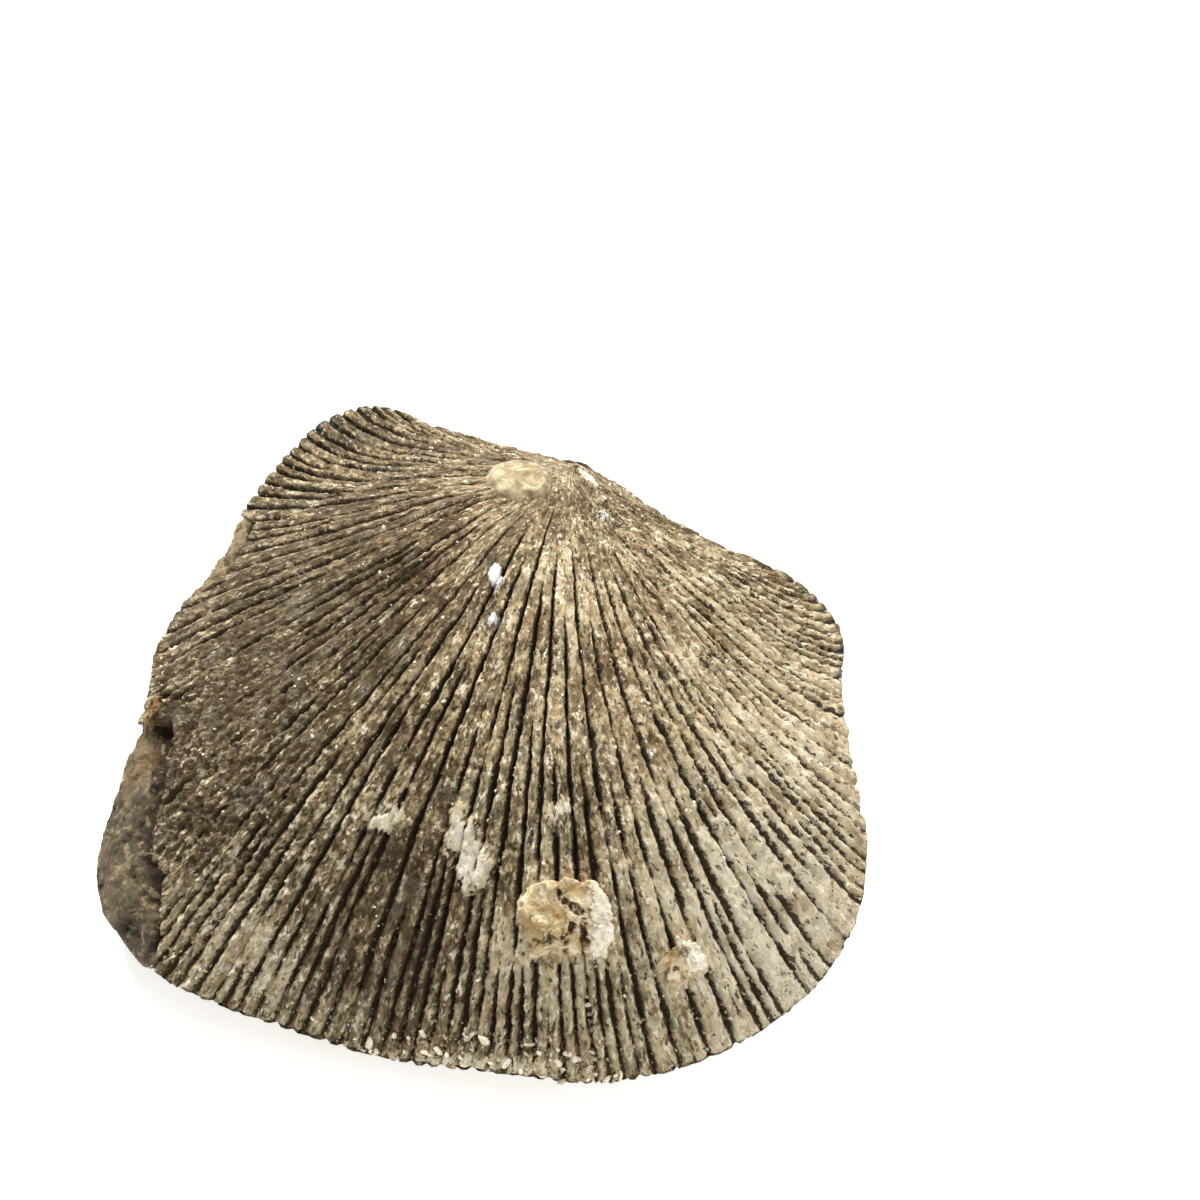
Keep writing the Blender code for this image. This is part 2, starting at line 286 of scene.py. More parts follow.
def withPoles(table, top, bottom):      # a list of the points, with the two poles at its end
    return np.concatenate((table.reshape(-1, 3), (top, bottom)))


def polesToo(values, rows=slice(None)):     # the same for each list of values
    return {label: np.append(value[rows].ravel(), (value[0, 0], 0.0)) for label, value in values.items()}


def sideBySide(*parts):     # the x, y and z tables of all rows as one table of points
    return np.stack([np.concatenate(part, axis=1) for part in parts], axis=-1)


def outwardFrom(end):       # level, in each column's direction
    return np.stack((np.cos(np.radians(end)), np.sin(np.radians(end)), 0.0 * end), axis=-1)


def makeObject(name, points, quads, triangles, values, away):
    mesh = bpy.data.meshes.new(name)
    quads = np.asarray(quads, np.int32).reshape(-1, 4)
    triangles = np.asarray(triangles, np.int32).reshape(-1, 3)
    mesh.vertices.add(len(points))
    mesh.vertices.foreach_set("co", toFrame(points).astype(np.float32).ravel())
    mesh.loops.add(quads.size + triangles.size)
    mesh.loops.foreach_set("vertex_index", np.concatenate((quads.ravel(), triangles.ravel())))
    mesh.polygons.add(len(quads) + len(triangles))
    starts = np.concatenate((np.arange(len(quads)) * 4, quads.size + np.arange(len(triangles)) * 3))
    mesh.polygons.foreach_set("loop_start", starts.astype(np.int32))
    mesh.update(calc_edges=True)
    mesh.validate()
    for label, value in values.items():
        layer = mesh.attributes.new(label, "FLOAT", "POINT").data
        layer.foreach_set("value", np.asarray(value, np.float32).ravel())
    layer = mesh.attributes.new("away", "FLOAT_VECTOR", "POINT").data
    layer.foreach_set("vector", np.asarray(away, np.float32).ravel())
    mesh.shade_smooth()
    thing = bpy.data.objects.new(name, mesh)
    bpy.context.scene.collection.objects.link(thing)
    return thing


def columnFaces(columnCount, rowCount, wholeTurn, outerRows):
    # the faces of a solid made of columns that run from its top pole over the edge to its bottom pole
    index = np.arange(columnCount * rowCount).reshape(columnCount, rowCount)
    here, after = (index, np.roll(index, -1, axis=0)) if wholeTurn else (index[:-1], index[1:])
    quads = np.stack((here[:, :-1], after[:, :-1], after[:, 1:], here[:, 1:]), axis=-1).reshape(-1, 4)
    top, bottom = columnCount * rowCount, columnCount * rowCount + 1
    triangles = [(top, b, a) for a, b in zip(here[:, 0], after[:, 0])]
    triangles += [(bottom, a, b) for a, b in zip(here[:, -1], after[:, -1])]
    if not wholeTurn:
        for column, turned in ((index[0], False), (index[-1], True)):
            over = [top, *column[:outerRows]]
            under = [bottom, *column[:outerRows - 1:-1]]
            a = b = 0
            while a < len(over) - 1 or b < len(under) - 1:
                nextOver = (a + 1) / (len(over) - 1)
                nextUnder = (b + 1) / (len(under) - 1)
                if b == len(under) - 1 or (a < len(over) - 1 and nextOver <= nextUnder):
                    face = (over[a], over[a + 1], under[b])
                    a += 1
                else:
                    face = (over[a], under[b + 1], under[b])
                    b += 1
                triangles.append(face[::-1] if turned else face)
    return quads, triangles


# ---- node trees ----

def put(tree, kind, inputs=None, **settings):
    node = tree.nodes.new(kind)
    for key, value in settings.items():
        setattr(node, key, value)
    for key, value in (inputs or {}).items():
        socket = node.inputs[key]
        if isinstance(value, bpy.types.NodeSocket):
            tree.links.new(value, socket)
        else:
            socket.default_value = value
    return node


def calc(tree, operation, first, second=0.0, third=0.0):
    return put(tree, "ShaderNodeMath", {0: first, 1: second, 2: third}, operation=operation).outputs[0]


def times(tree, first, second):
    return calc(tree, "MULTIPLY", first, second)


def plus(tree, first, second):
    return calc(tree, "ADD", first, second)


def minus(tree, first, second):
    return calc(tree, "SUBTRACT", first, second)


def timesPlus(tree, first, second, third):
    return calc(tree, "MULTIPLY_ADD", first, second, third)


def centred(tree, value):       # from 0 to 1 into -0.5 to 0.5
    return minus(tree, value, 0.5)


def scaled(tree, vector, value):
    return put(tree, "ShaderNodeVectorMath", {0: vector, "Scale": value}, operation="SCALE").outputs[0]


def store(tree, mesh, label, value, domain="POINT"):
    inputs = {0: mesh, "Name": label, "Value": value}
    return put(tree, "GeometryNodeStoreNamedAttribute", inputs, data_type="FLOAT", domain=domain).outputs[0]


def ramp(tree, value, fromLow, fromHigh, toLow=0.0, toHigh=1.0, kind="SMOOTHSTEP"):
    inputs = {0: value, 1: fromLow, 2: fromHigh, 3: toLow, 4: toHigh}
    return put(tree, "ShaderNodeMapRange", inputs, interpolation_type=kind).outputs[0]


def noise(tree, where, size, detail=2.0, roughness=0.5, seed=0.0):     # size in metres
    scale = calc(tree, "DIVIDE", 1.0, size)
    inputs = {"Vector": where, "W": seed, "Scale": scale, "Detail": detail, "Roughness": roughness}
    return put(tree, "ShaderNodeTexNoise", inputs, noise_dimensions="4D").outputs[0]


def mosaic(tree, where, size, seed=0.0):       # a random value for each cell of a jagged mosaic
    inputs = {"Vector": where, "W": seed, "Scale": calc(tree, "DIVIDE", 1.6, size), "Detail": 3.0}
    shift = put(tree, "ShaderNodeTexNoise", inputs, noise_dimensions="4D").outputs["Color"]
    shift = scaled(tree, shift, times(tree, size, 1.5))
    moved = put(tree, "ShaderNodeVectorMath", {0: where, 1: shift}).outputs[0]
    cells = put(tree, "ShaderNodeTexVoronoi", {"Vector": moved, "Scale": calc(tree, "DIVIDE", 1.0, size)})
    return plus(tree, cells.outputs["Color"], 0.0)


def pitMask(tree, where, size, seed, rare, wide, torn=0.0):      # 1 in the pits, one in some of the cells
    inputs = {"Vector": where, "W": seed, "Scale": calc(tree, "DIVIDE", 1.0, size)}
    cells = put(tree, "ShaderNodeTexVoronoi", inputs, voronoi_dimensions="4D").outputs
    chosen = ramp(tree, put(tree, "FunctionNodeSeparateColor", {0: cells["Color"]}).outputs[0], rare, rare + 0.1)
    return times(tree, ramp(tree, plus(tree, cells["Distance"], torn), 0.1, wide, 1.0, 0.0), chosen)


def attribute(tree, name, kind="FLOAT"):
    return put(tree, "GeometryNodeInputNamedAttribute", {"Name": name}, data_type=kind).outputs["Attribute"]


def newTree(name, sizes):       # a tree with a mesh, the sizes and a material as its named inputs
    tree = bpy.data.node_groups.new(name, "GeometryNodeTree")
    tree.interface.new_socket("Mesh", in_out="INPUT", socket_type="NodeSocketGeometry")
    for label, value in sizes.items():
        tree.interface.new_socket(label, in_out="INPUT", socket_type="NodeSocketFloat").default_value = value
    tree.interface.new_socket("Finish", in_out="INPUT", socket_type="NodeSocketMaterial")
    tree.interface.new_socket("Mesh", in_out="OUTPUT", socket_type="NodeSocketGeometry")
    return tree, put(tree, "NodeGroupInput").outputs


def endTree(tree, mesh, material, smooth=True):
    whole = put(tree, "GeometryNodeRealizeInstances", {0: mesh}).outputs[0]
    shaded = put(tree, "GeometryNodeSetShadeSmooth", {0: whole, "Shade Smooth": smooth}).outputs[0]
    finished = put(tree, "GeometryNodeSetMaterial", {0: shaded, "Material": material}).outputs[0]
    put(tree, "NodeGroupOutput", {0: finished})


def pushOut(tree, sizes, layers, masks):
    # each layer times its height, along the direction away from the smooth surface; a minus cuts in
    height = None
    for amount, label in layers:
        size = times(tree, sizes[label[1:]], -1.0) if label[0] == "-" else sizes[label]
        height = times(tree, amount, size) if height is None else timesPlus(tree, amount, size, height)
    offset = scaled(tree, attribute(tree, "away", "FLOAT_VECTOR"), times(tree, height, attribute(tree, "skin")))
    moved = put(tree, "GeometryNodeSetPosition", {0: sizes["Mesh"], "Offset": offset}).outputs[0]
    for label, value in masks.items():
        moved = store(tree, moved, label, value)
    endTree(tree, moved, sizes["Finish"])


def runTree(thing, tree, sizes, material):      # the tree's result becomes the object's plain mesh
    modifier = thing.modifiers.new(tree.name, "NODES")
    modifier.node_group = tree
    for item in tree.interface.items_tree:
        if item.in_out == "INPUT" and item.name in sizes:
            modifier[item.identifier] = sizes[item.name]
        elif item.in_out == "INPUT" and item.name == "Finish":
            modifier[item.identifier] = material
    thing.update_tag()
    bpy.context.view_layer.update()
    graph = bpy.context.evaluated_depsgraph_get()
    made = bpy.data.meshes.new_from_object(thing.evaluated_get(graph), depsgraph=graph)
    old = thing.data
    thing.modifiers.clear()
    thing.data = made
    bpy.data.meshes.remove(old)
    made.name = thing.name


# ribs, growth lines, flakes, pits and grain on a valve
carving = {
    "Groove Depth": 0.5 * mm,
    "Groove Width": 0.115 * mm,      # half of it, where it is widest
    "Groove Length": 4.2 * mm,      # of the runs between two gaps
    "Gaps": 0.37,
    "Rib Crown": 0.34 * mm,
    "Wander": 0.45 * mm,
    "Jag Size": 0.42 * mm,
    "Jag": 0.12 * mm,
    "Ragged": 1.6,
    "Growth Step": 0.12 * mm,
    "Lump Size": 2.4 * mm,
    "Lump Height": 0.35 * mm,
    "Flake Size": 0.55 * mm,
    "Flake Height": 0.2 * mm,
    "Grain Size": 0.4 * mm,
    "Grain Height": 0.6 * mm,
    "Pit Size": 0.9 * mm,
    "Pit Depth": 0.24 * mm,
    "Plate Height": 0.35 * mm,
    "Seed": 3.0,
}
carvingPatterns = {
    "bends": 4.5 * mm,
    "ragged": 0.4 * mm,
    "plateChips": 0.8 * mm,
    "plateEdges": 0.7 * mm,
    "growthWaves": 7.0 * mm,
    "growthPatches": 3.0 * mm,
    "growthLines": 9.0,         # from the beak to the edge
    "grainPatches": 6.0 * mm,
    "runsApart": 7.3,           # so that no two grooves have the same gaps
    "widestGroove": 0.12,       # half of it, over a rib's width
    "ribTop": 0.2,
}


def carvingTree():
    tree, sizes = newTree("carvedValve", carving)
    where = put(tree, "GeometryNodeInputPosition").outputs[0]
    place, out, pitch, rib, way, middle, wear, coarseness, bold = (
        attribute(tree, label)
        for label in ("place", "out", "pitch", "rib", "way", "middle", "wear", "coarse", "bold")
    )
    seed = sizes["Seed"]

    def seeded(step):
        return plus(tree, seed, step)

    # where the point lies across its rib, with the grooves bent and chipped a little from side to side
    bend = times(tree, centred(tree, noise(tree, where, carvingPatterns["bends"], 2.0, 0.5, seed)), sizes["Wander"])
    chip = times(tree, centred(tree, mosaic(tree, where, sizes["Jag Size"], seeded(8.0))), sizes["Jag"])
    sideways = times(tree, plus(tree, bend, chip), ramp(tree, out, 0.05, 0.35))
    across = timesPlus(tree, place, pitch, sideways)
    ragged = centred(tree, noise(tree, where, carvingPatterns["ragged"], 3.0, 0.65, seeded(1.0)))
    ragged = times(tree, ragged, sizes["Ragged"])
    ribbed = times(tree, attribute(tree, "ribbed"), ramp(tree, out, 0.04, 0.35, 0.5, 1.0))

    def groove(centre, number, start):      # distance from one groove, its strength and whether it has begun
        distance = calc(tree, "ABSOLUTE", minus(tree, across, centre))
        lengths = calc(tree, "DIVIDE", way, sizes["Groove Length"])
        apart = times(tree, number, carvingPatterns["runsApart"])
        run = put(tree, "ShaderNodeCombineXYZ", {0: apart, 1: lengths, 2: 0.0}).outputs[0]
        inputs = {"Vector": run, "W": seeded(4.0), "Scale": 1.0, "Detail": 3.0, "Roughness": 0.65}
        uneven = put(tree, "ShaderNodeTexNoise", inputs, noise_dimensions="4D").outputs[0]
        limit = timesPlus(tree, wear, 0.2, sizes["Gaps"])
        present = ramp(tree, minus(tree, uneven, limit), -0.03, 0.08)
        begun = ramp(tree, minus(tree, out, start), 0.0, ribs["startRun"])
        present = times(tree, present, begun)
        width = times(tree, sizes["Groove Width"], ramp(tree, uneven, 0.38, 0.66, 0.55, 1.6))
        width = times(tree, width, timesPlus(tree, bold, 0.35, 1.0))
        width = calc(tree, "MINIMUM", width, times(tree, pitch, carvingPatterns["widestGroove"]))
        width = times(tree, width, timesPlus(tree, present, 0.6, 0.4))
        field = minus(tree, 1.0, calc(tree, "DIVIDE", distance, times(tree, width, 2.0)))
        return distance, times(tree, calc(tree, "MAXIMUM", field, 0.0), present), begun

    grooves = (
        groove(0.0, rib, attribute(tree, "startRight")),
        groove(pitch, plus(tree, rib, 1.0), attribute(tree, "startLeft")),
        groove(times(tree, middle, pitch), plus(tree, rib, 0.5), attribute(tree, "split")),
        groove(times(tree, times(tree, middle, 0.5), pitch), plus(tree, rib, 0.25), attribute(tree, "splitRight")),
        groove(
            times(tree, timesPlus(tree, middle, 0.5, 0.5), pitch),
            plus(tree, rib, 0.75),
            attribute(tree, "splitLeft"),
        ),
    )
    near, field = pitch, 0.0
    for distance, strength, begun in grooves:
        later = times(tree, minus(tree, 1.0, begun), pitch)
        near = calc(tree, "MINIMUM", near, plus(tree, distance, later))
        field = calc(tree, "MAXIMUM", field, strength)
    field = times(tree, field, ribbed)
    # thin plates grown over the ribs, pale or white
    torn = times(tree, centred(tree, mosaic(tree, where, carvingPatterns["plateChips"], seeded(7.0))), 0.9)
    edges = centred(tree, noise(tree, where, carvingPatterns["plateEdges"], 4.0, 0.65, seeded(7.0)))
    torn = timesPlus(tree, edges, 1.3, torn)
    pale = calc(tree, "MAXIMUM", attribute(tree, "chalk"), attribute(tree, "white"))
    plate = ramp(tree, timesPlus(tree, field, -0.15, plus(tree, pale, torn)), 0.5, 0.58)
    field = times(tree, field, timesPlus(tree, plate, -0.8, 1.0))
    cut = ramp(tree, plus(tree, field, ragged), 0.3, 0.85)
    cut = times(tree, cut, ramp(tree, field, 0.02, 0.3))
    # a rib falls away to both sides of its top
    half = times(tree, pitch, carvingPatterns["ribTop"])
    side = minus(tree, 1.0, calc(tree, "MINIMUM", calc(tree, "DIVIDE", near, half), 1.0))
    crown = times(tree, times(tree, side, side), ribbed)
    crown = times(tree, crown, timesPlus(tree, wear, -0.75, 1.0))
    # growth lines across the ribs
    waves = noise(tree, where, carvingPatterns["growthWaves"], 2.0, 0.5, seeded(2.0))
    wavy = timesPlus(tree, waves, 1.2, times(tree, out, carvingPatterns["growthLines"]))
    line = calc(tree, "POWER", calc(tree, "FRACT", wavy), 4.0)
    patchy = noise(tree, where, carvingPatterns["growthPatches"], 2.0, 0.5, seeded(3.0))
    patchy = ramp(tree, patchy, 0.5, 0.62)
    growth = times(tree, line, patchy)
    # lumps, flakes, grain and pits
    lumps = centred(tree, noise(tree, where, sizes["Lump Size"], 2.0, 0.5, seed))
    flakes = times(tree, centred(tree, mosaic(tree, where, sizes["Flake Size"], seeded(9.0))), coarseness)
    grain = centred(tree, noise(tree, where, sizes["Grain Size"], 3.0, 0.7, seeded(5.0)))
    coarse = noise(tree, where, carvingPatterns["grainPatches"], 1.0, 0.5, seeded(6.0))
    coarse = ramp(tree, coarse, 0.38, 0.62, 0.6, 1.2)
    grain = times(tree, grain, times(tree, coarse, coarseness))
    pit = pitMask(tree, where, sizes["Pit Size"], seed, 0.55, 0.3, times(tree, ragged, 0.3))
    pit = times(tree, pit, coarseness)
    pushOut(tree, sizes, (
        (cut, "-Groove Depth"), (crown, "-Rib Crown"), (growth, "Growth Step"), (lumps, "Lump Height"),
        (flakes, "Flake Height"), (grain, "Grain Height"), (plate, "Plate Height"), (pit, "-Pit Depth"),
    ), {"groove": field, "pit": pit, "grain": grain, "side": side, "plate": plate, "across": across})
    return tree


# ---- stone finishes ----

def newMaterial(name):
    material = bpy.data.materials.new(name)
    material.use_nodes = True
    return material, material.node_tree, material.node_tree.nodes["Principled BSDF"]


def colour(red, green, paintedBackShade):       # from the 0 to 255 of a colour picker
    value = np.array((red, green, paintedBackShade)) / 255.0
    linear = np.where(value <= 0.04045, value / 12.92, ((value + 0.055) / 1.055) ** 2.4)
    return (*linear, 1.0)


def blendColour(tree, share, first, second, kind="MIX"):
    return put(tree, "ShaderNodeMix", {0: share, 6: first, 7: second}, data_type="RGBA", blend_type=kind).outputs[2]


def shaderValue(tree, name):
    return put(tree, "ShaderNodeAttribute", attribute_name=name).outputs["Fac"]


def speckle(tree, where, size, low, high, seed):
    return ramp(tree, noise(tree, where, size, 3.0, 0.6, seed), low, high)


def blots(tree, where, base, tint, size, low, high, seed, amount, kind="MIX"):
    # scattered blots of another colour
    return blendColour(tree, times(tree, speckle(tree, where, size, low, high, seed), amount), base, tint, kind)


def finishSurface(tree, surface, base, rough, relief, strength, depth, shine=0.3):
    bump = put(tree, "ShaderNodeBump", {"Strength": strength, "Distance": depth, "Height": relief}).outputs[0]
    for label, value in (("Base Color", base), ("Roughness", rough), ("Normal", bump)):
        tree.links.new(value, surface.inputs[label])
    surface.inputs["Specular IOR Level"].default_value = shine


stone = {
    "dark": colour(82, 65, 40),
    "tan": colour(168, 149, 112),
    "pale": colour(202, 186, 150),
    "ochre": colour(156, 124, 74),
    "grey": colour(128, 122, 106),
    "groove": colour(58, 44, 26),
    "calcite": colour(232, 221, 196),
    "cream": colour(248, 240, 218),
    "white": colour(242, 240, 236),
    # painted shade along the back edge
    "paintedBackShade": colour(58, 62, 72),
    # sizes of the marks
    "clouds": 2.2 * mm,
    "runs": 2.6 * mm,
    "streaks": 0.5 * mm,
    "chips": 0.36 * mm,
    "crumbs": 0.15 * mm,
    "flecks": 0.46 * mm,
    "specks": 0.3 * mm,
    "streak": 0.6,             # width of a mark over its length
    "ribApart": 11.3 * mm,      # so that no two ribs have the same marks
    "roughness": (0.62, 0.95),
    "bump": 0.8,
    "bumpDepth": 0.16 * mm,
}


def valveMaterial():
    material, tree, surface = newMaterial("ribbed limestone")
    where = put(tree, "ShaderNodeTexCoord").outputs["Object"]
    grain = shaderValue(tree, "grain")
    # the stone's own directions, across and along a rib, for marks longer than they are wide
    onRib = put(tree, "ShaderNodeCombineXYZ", {
        0: shaderValue(tree, "across"),
        1: times(tree, shaderValue(tree, "way"), stone["streak"]),
        2: times(tree, shaderValue(tree, "rib"), stone["ribApart"]),
    }).outputs[0]
    clouds = centred(tree, noise(tree, where, stone["clouds"], 4.0, 0.6, 1.0))
    runs = centred(tree, noise(tree, onRib, stone["runs"], 2.0, 0.5, 15.0))
    streaks = centred(tree, noise(tree, onRib, stone["streaks"], 4.0, 0.6, 12.0))
    chips = centred(tree, mosaic(tree, onRib, stone["chips"], 1.0))
    crumbs = centred(tree, mosaic(tree, onRib, stone["crumbs"], 2.0))
    tone = shaderValue(tree, "tone")
    # the grain's bumps paler and its hollows darker: painted light and shade, with the stone's own marks
    for mark, amount in ((clouds, 1.5), (runs, 1.6), (grain, 1.3), (streaks, 1.2), (chips, 1.0), (crumbs, 0.9)):
        tone = timesPlus(tree, mark, amount, tone)
    base = blendColour(tree, ramp(tree, tone, 0.0, 0.9, kind="LINEAR"), stone["dark"], stone["tan"])
    base = blendColour(tree, ramp(tree, tone, 0.65, 1.25), base, stone["pale"])
    base = blendColour(tree, ramp(tree, tone, 1.3, 2.0, 0.0, 0.8), base, stone["calcite"])
    base = blots(tree, where, base, stone["ochre"], 3.2 * mm, 0.48, 0.66, 4.0, 0.6, "MULTIPLY")
    base = blots(tree, where, base, stone["grey"], 2.2 * mm, 0.52, 0.66, 8.0, 0.35)
    # paler along the shoulders of the ribs: painted highlight on the rib edges, partly wear
    shoulder = calc(tree, "ABSOLUTE", minus(tree, shaderValue(tree, "side"), 0.4))
    shoulder = ramp(tree, shoulder, 0.05, 0.3, 1.0, 0.0)
    shoulder = times(tree, shoulder, speckle(tree, where, 0.8 * mm, 0.42, 0.58, 14.0))
    base = blendColour(tree, times(tree, shoulder, ramp(tree, tone, 0.0, 1.0, 0.2, 0.8)), base, stone["pale"])
    # light flecks, dark specks and pits; the flecks follow the grain's bumps and the rib shoulders, the specks its
    # hollows: partly painted highlight and painted shade
    fleck = timesPlus(tree, grain, 0.5, noise(tree, onRib, stone["flecks"], 4.0, 0.65, 2.0))
    fleck = timesPlus(tree, shoulder, 0.05, timesPlus(tree, crumbs, 0.4, fleck))
    light = times(tree, ramp(tree, fleck, 0.63, 0.67), ramp(tree, tone, 0.3, 1.0, 0.2, 0.95))
    base = blendColour(tree, light, base, stone["calcite"])
    speck = timesPlus(tree, grain, -0.5, noise(tree, onRib, stone["specks"], 3.0, 0.65, 6.0))
    speck = timesPlus(tree, crumbs, -0.4, speck)
    base = blendColour(tree, times(tree, ramp(tree, speck, 0.65, 0.71), 0.85), base, stone["groove"])
    base = blendColour(tree, times(tree, shaderValue(tree, "pit"), 0.65), base, stone["groove"])
    # dark grooves with ragged borders
    torn = times(tree, centred(tree, noise(tree, where, 0.3 * mm, 4.0, 0.7, 7.0)), 1.5)
    torn = timesPlus(tree, crumbs, 0.45, torn)
    groove = shaderValue(tree, "groove")
    dark = times(tree, ramp(tree, plus(tree, groove, torn), 0.36, 0.5), ramp(tree, groove, 0.05, 0.2, 0.0, 0.92))
    base = blendColour(tree, dark, base, stone["groove"])
    # pale and white plates, and painted shade along the back edge
    plate = ramp(tree, timesPlus(tree, crumbs, 0.2, shaderValue(tree, "plate")), 0.4, 0.6)
    chalky = timesPlus(tree, streaks, 1.5, timesPlus(tree, chips, 0.3, shaderValue(tree, "chalk")))
    paler = blendColour(tree, ramp(tree, chalky, 0.5, 1.0), stone["pale"], stone["cream"])
    paler = blendColour(tree, ramp(tree, shaderValue(tree, "white"), 0.3, 0.4), paler, stone["white"])
    base = blendColour(tree, times(tree, plate, 0.95), base, paler)
    ragged = times(tree, centred(tree, noise(tree, where, 0.8 * mm, 5.0, 0.7, 3.0)), 1.3)
    paintedBackShadeBand = ramp(tree, plus(tree, shaderValue(tree, "paintedBackShade"), ragged), 0.8, 1.15, 0.0, 0.85)
    base = blendColour(tree, paintedBackShadeBand, base, stone["paintedBackShade"])
    rough = ramp(tree, noise(tree, where, 0.5 * mm, 3.0, 0.6, 5.0), 0.3, 0.7, *stone["roughness"])
    relief = noise(tree, where, 0.16 * mm, 4.0, 0.7, 9.0)
    relief = timesPlus(tree, noise(tree, where, 0.45 * mm, 3.0, 0.6, 11.0), 1.6, relief)
    for mark, amount in ((crumbs, 0.5), (chips, 0.9), (streaks, 1.3), (dark, -0.5)):
        relief = timesPlus(tree, mark, amount, relief)
    finishSurface(tree, surface, base, rough, relief, stone["bump"], stone["bumpDepth"])
    return material


# ---- upper valve ----

upperValve = {
    "rows": 248,
    "firstRow": 0.012,
    "wallRows": (0.25, 0.55, 0.8, 1.0),
    "insideRows": (0.92, 0.8, 0.6, 0.4, 0.2, 0.08),
    "thickness": 1.3,
    "edgeWobble": 0.0035,
    "breakWobble": 0.012,
    "edgeSkin": 0.5,            # how much of the carving is left at the edge
    "roundIn": 0.25,            # how far the edge turns in
    # more in a break: lean of the wall, its depth, and the thickness behind it
    "lean": 0.012,
    "deeper": 0.5,
    "thicker": 1.2,
    # painted shade along the back edge: shares of the way out, and the y where it begins
    "paintedBackShadeBand": (0.975, 0.995),    # shares of the way out
    "paintedBackShadeFrom": (13.0, 17.0),
    "thirds": (13, 26),         # ribs that start the second and third piece
}

# soft patches on the plan: x, y, half length, half width, turn, strength
patches = {
    "smooth": (
        (-6.0, 13.5, 4.5, 4.0, 20.0, 0.7), (-14.0, 12.0, 12.0, 8.0, 20.0, 0.75), (-17.0, 2.0, 8.0, 7.0, 0.0, 0.6),
        (2.0, 10.0, 6.0, 5.0, 0.0, 0.4), (-4.0, 17.5, 4.5, 3.5, 0.0, 0.9),
    ),
    "rough": (
        (-15.0, -11.0, 7.0, 8.0, 0.0, 1.3), (14.0, -14.0, 14.0, 5.0, 25.0, 0.7), (20.0, 4.0, 7.0, 9.0, 0.0, 0.5),
        (-8.0, -17.0, 7.0, 5.0, 0.0, 0.9),
    ),
    "wear": (
        (-15.5, -9.0, 8.0, 7.0, 60.0, 1.0), (-5.0, 14.5, 4.0, 2.5, 20.0, 0.7), (-13.0, 15.0, 3.0, 2.0, 0.0, 0.4),
        (19.0, 3.0, 6.0, 8.0, 0.0, 0.4), (20.5, 13.0, 4.0, 5.0, -20.0, 0.6), (-17.0, 1.0, 6.0, 5.0, 0.0, 0.3),
    ),
    "bold": (
        (18.0, -4.0, 8.0, 8.0, 0.0, 0.5), (-17.0, 14.0, 10.0, 8.0, 0.0, 1.0), (6.0, -15.0, 9.0, 5.0, 15.0, 0.3),
    ),
    "dark": (
        (-14.0, -1.0, 11.0, 8.0, 60.0, 0.55), (1.5, -14.5, 4.5, 6.5, -5.0, 0.45), (-15.0, 9.0, 7.0, 6.0, 0.0, 0.3),
        (-14.0, -9.0, 8.0, 7.0, 0.0, 0.55), (-18.0, 17.0, 7.0, 5.0, 0.0, 0.3), (-5.0, 23.2, 3.5, 0.8, 0.0, 0.8),
    ),
    # light: paler stone, and on the right flank painted light where that flank faces away from the key light
    "light": (
        (21.0, 5.0, 9.0, 10.0, 0.0, 1.1), (23.0, -2.0, 9.0, 9.0, 20.0, 1.6), (13.0, 17.0, 8.0, 4.0, 0.0, 0.3),
        (14.0, -12.0, 6.0, 6.0, 0.0, 0.5), (3.0, 6.0, 6.0, 7.0, 0.0, 0.3), (-6.0, -19.5, 4.0, 3.0, 0.0, 0.6),
        (17.0, 13.0, 9.0, 7.0, 0.0, 0.8),
    ),
    "chalk": (
        (3.3, -8.0, 1.1, 1.4, 28.0, 1.0), (4.9, -9.2, 1.2, 1.4, 28.0, 1.05), (-1.2, -9.4, 1.9, 0.9, 28.0, 0.75),
        (2.1, 13.2, 0.8, 0.5, 0.0, 0.75), (-2.5, 19.3, 2.6, 0.4, -38.0, 0.85), (8.6, -4.8, 0.8, 1.3, 28.0, 0.8),
        (10.5, -17.7, 6.0, 0.55, 20.0, 0.8),
    ),
    "white": ((-2.6, 7.1, 0.5, 1.1, 30.0, 1.1), (-1.2, 4.4, 0.3, 0.7, 10.0, 1.0), (0.6, 16.2, 1.5, 0.9, 0.0, 0.5)),
    "crumbs": (
        (10.0, -18.2, 8.5, 1.5, 20.0, 1.2), (-15.5, -20.6, 3.5, 1.2, -15.0, 0.8), (3.0, -20.4, 4.0, 1.0, 15.0, 0.7),
    ),
}


def patchField(kind, x, y):
    total = np.zeros_like(x)
    for midX, midY, length, width, turn, strength in patches[kind]:
        cosine, sine = math.cos(math.radians(turn)), math.sin(math.radians(turn))
        lengthways = ((x - midX) * cosine + (y - midY) * sine) / length
        across = ((y - midY) * cosine - (x - midX) * sine) / width
        total = np.maximum(total, strength * np.exp(-0.7 * (lengthways ** 2 + across ** 2) ** 1.5))
    return total


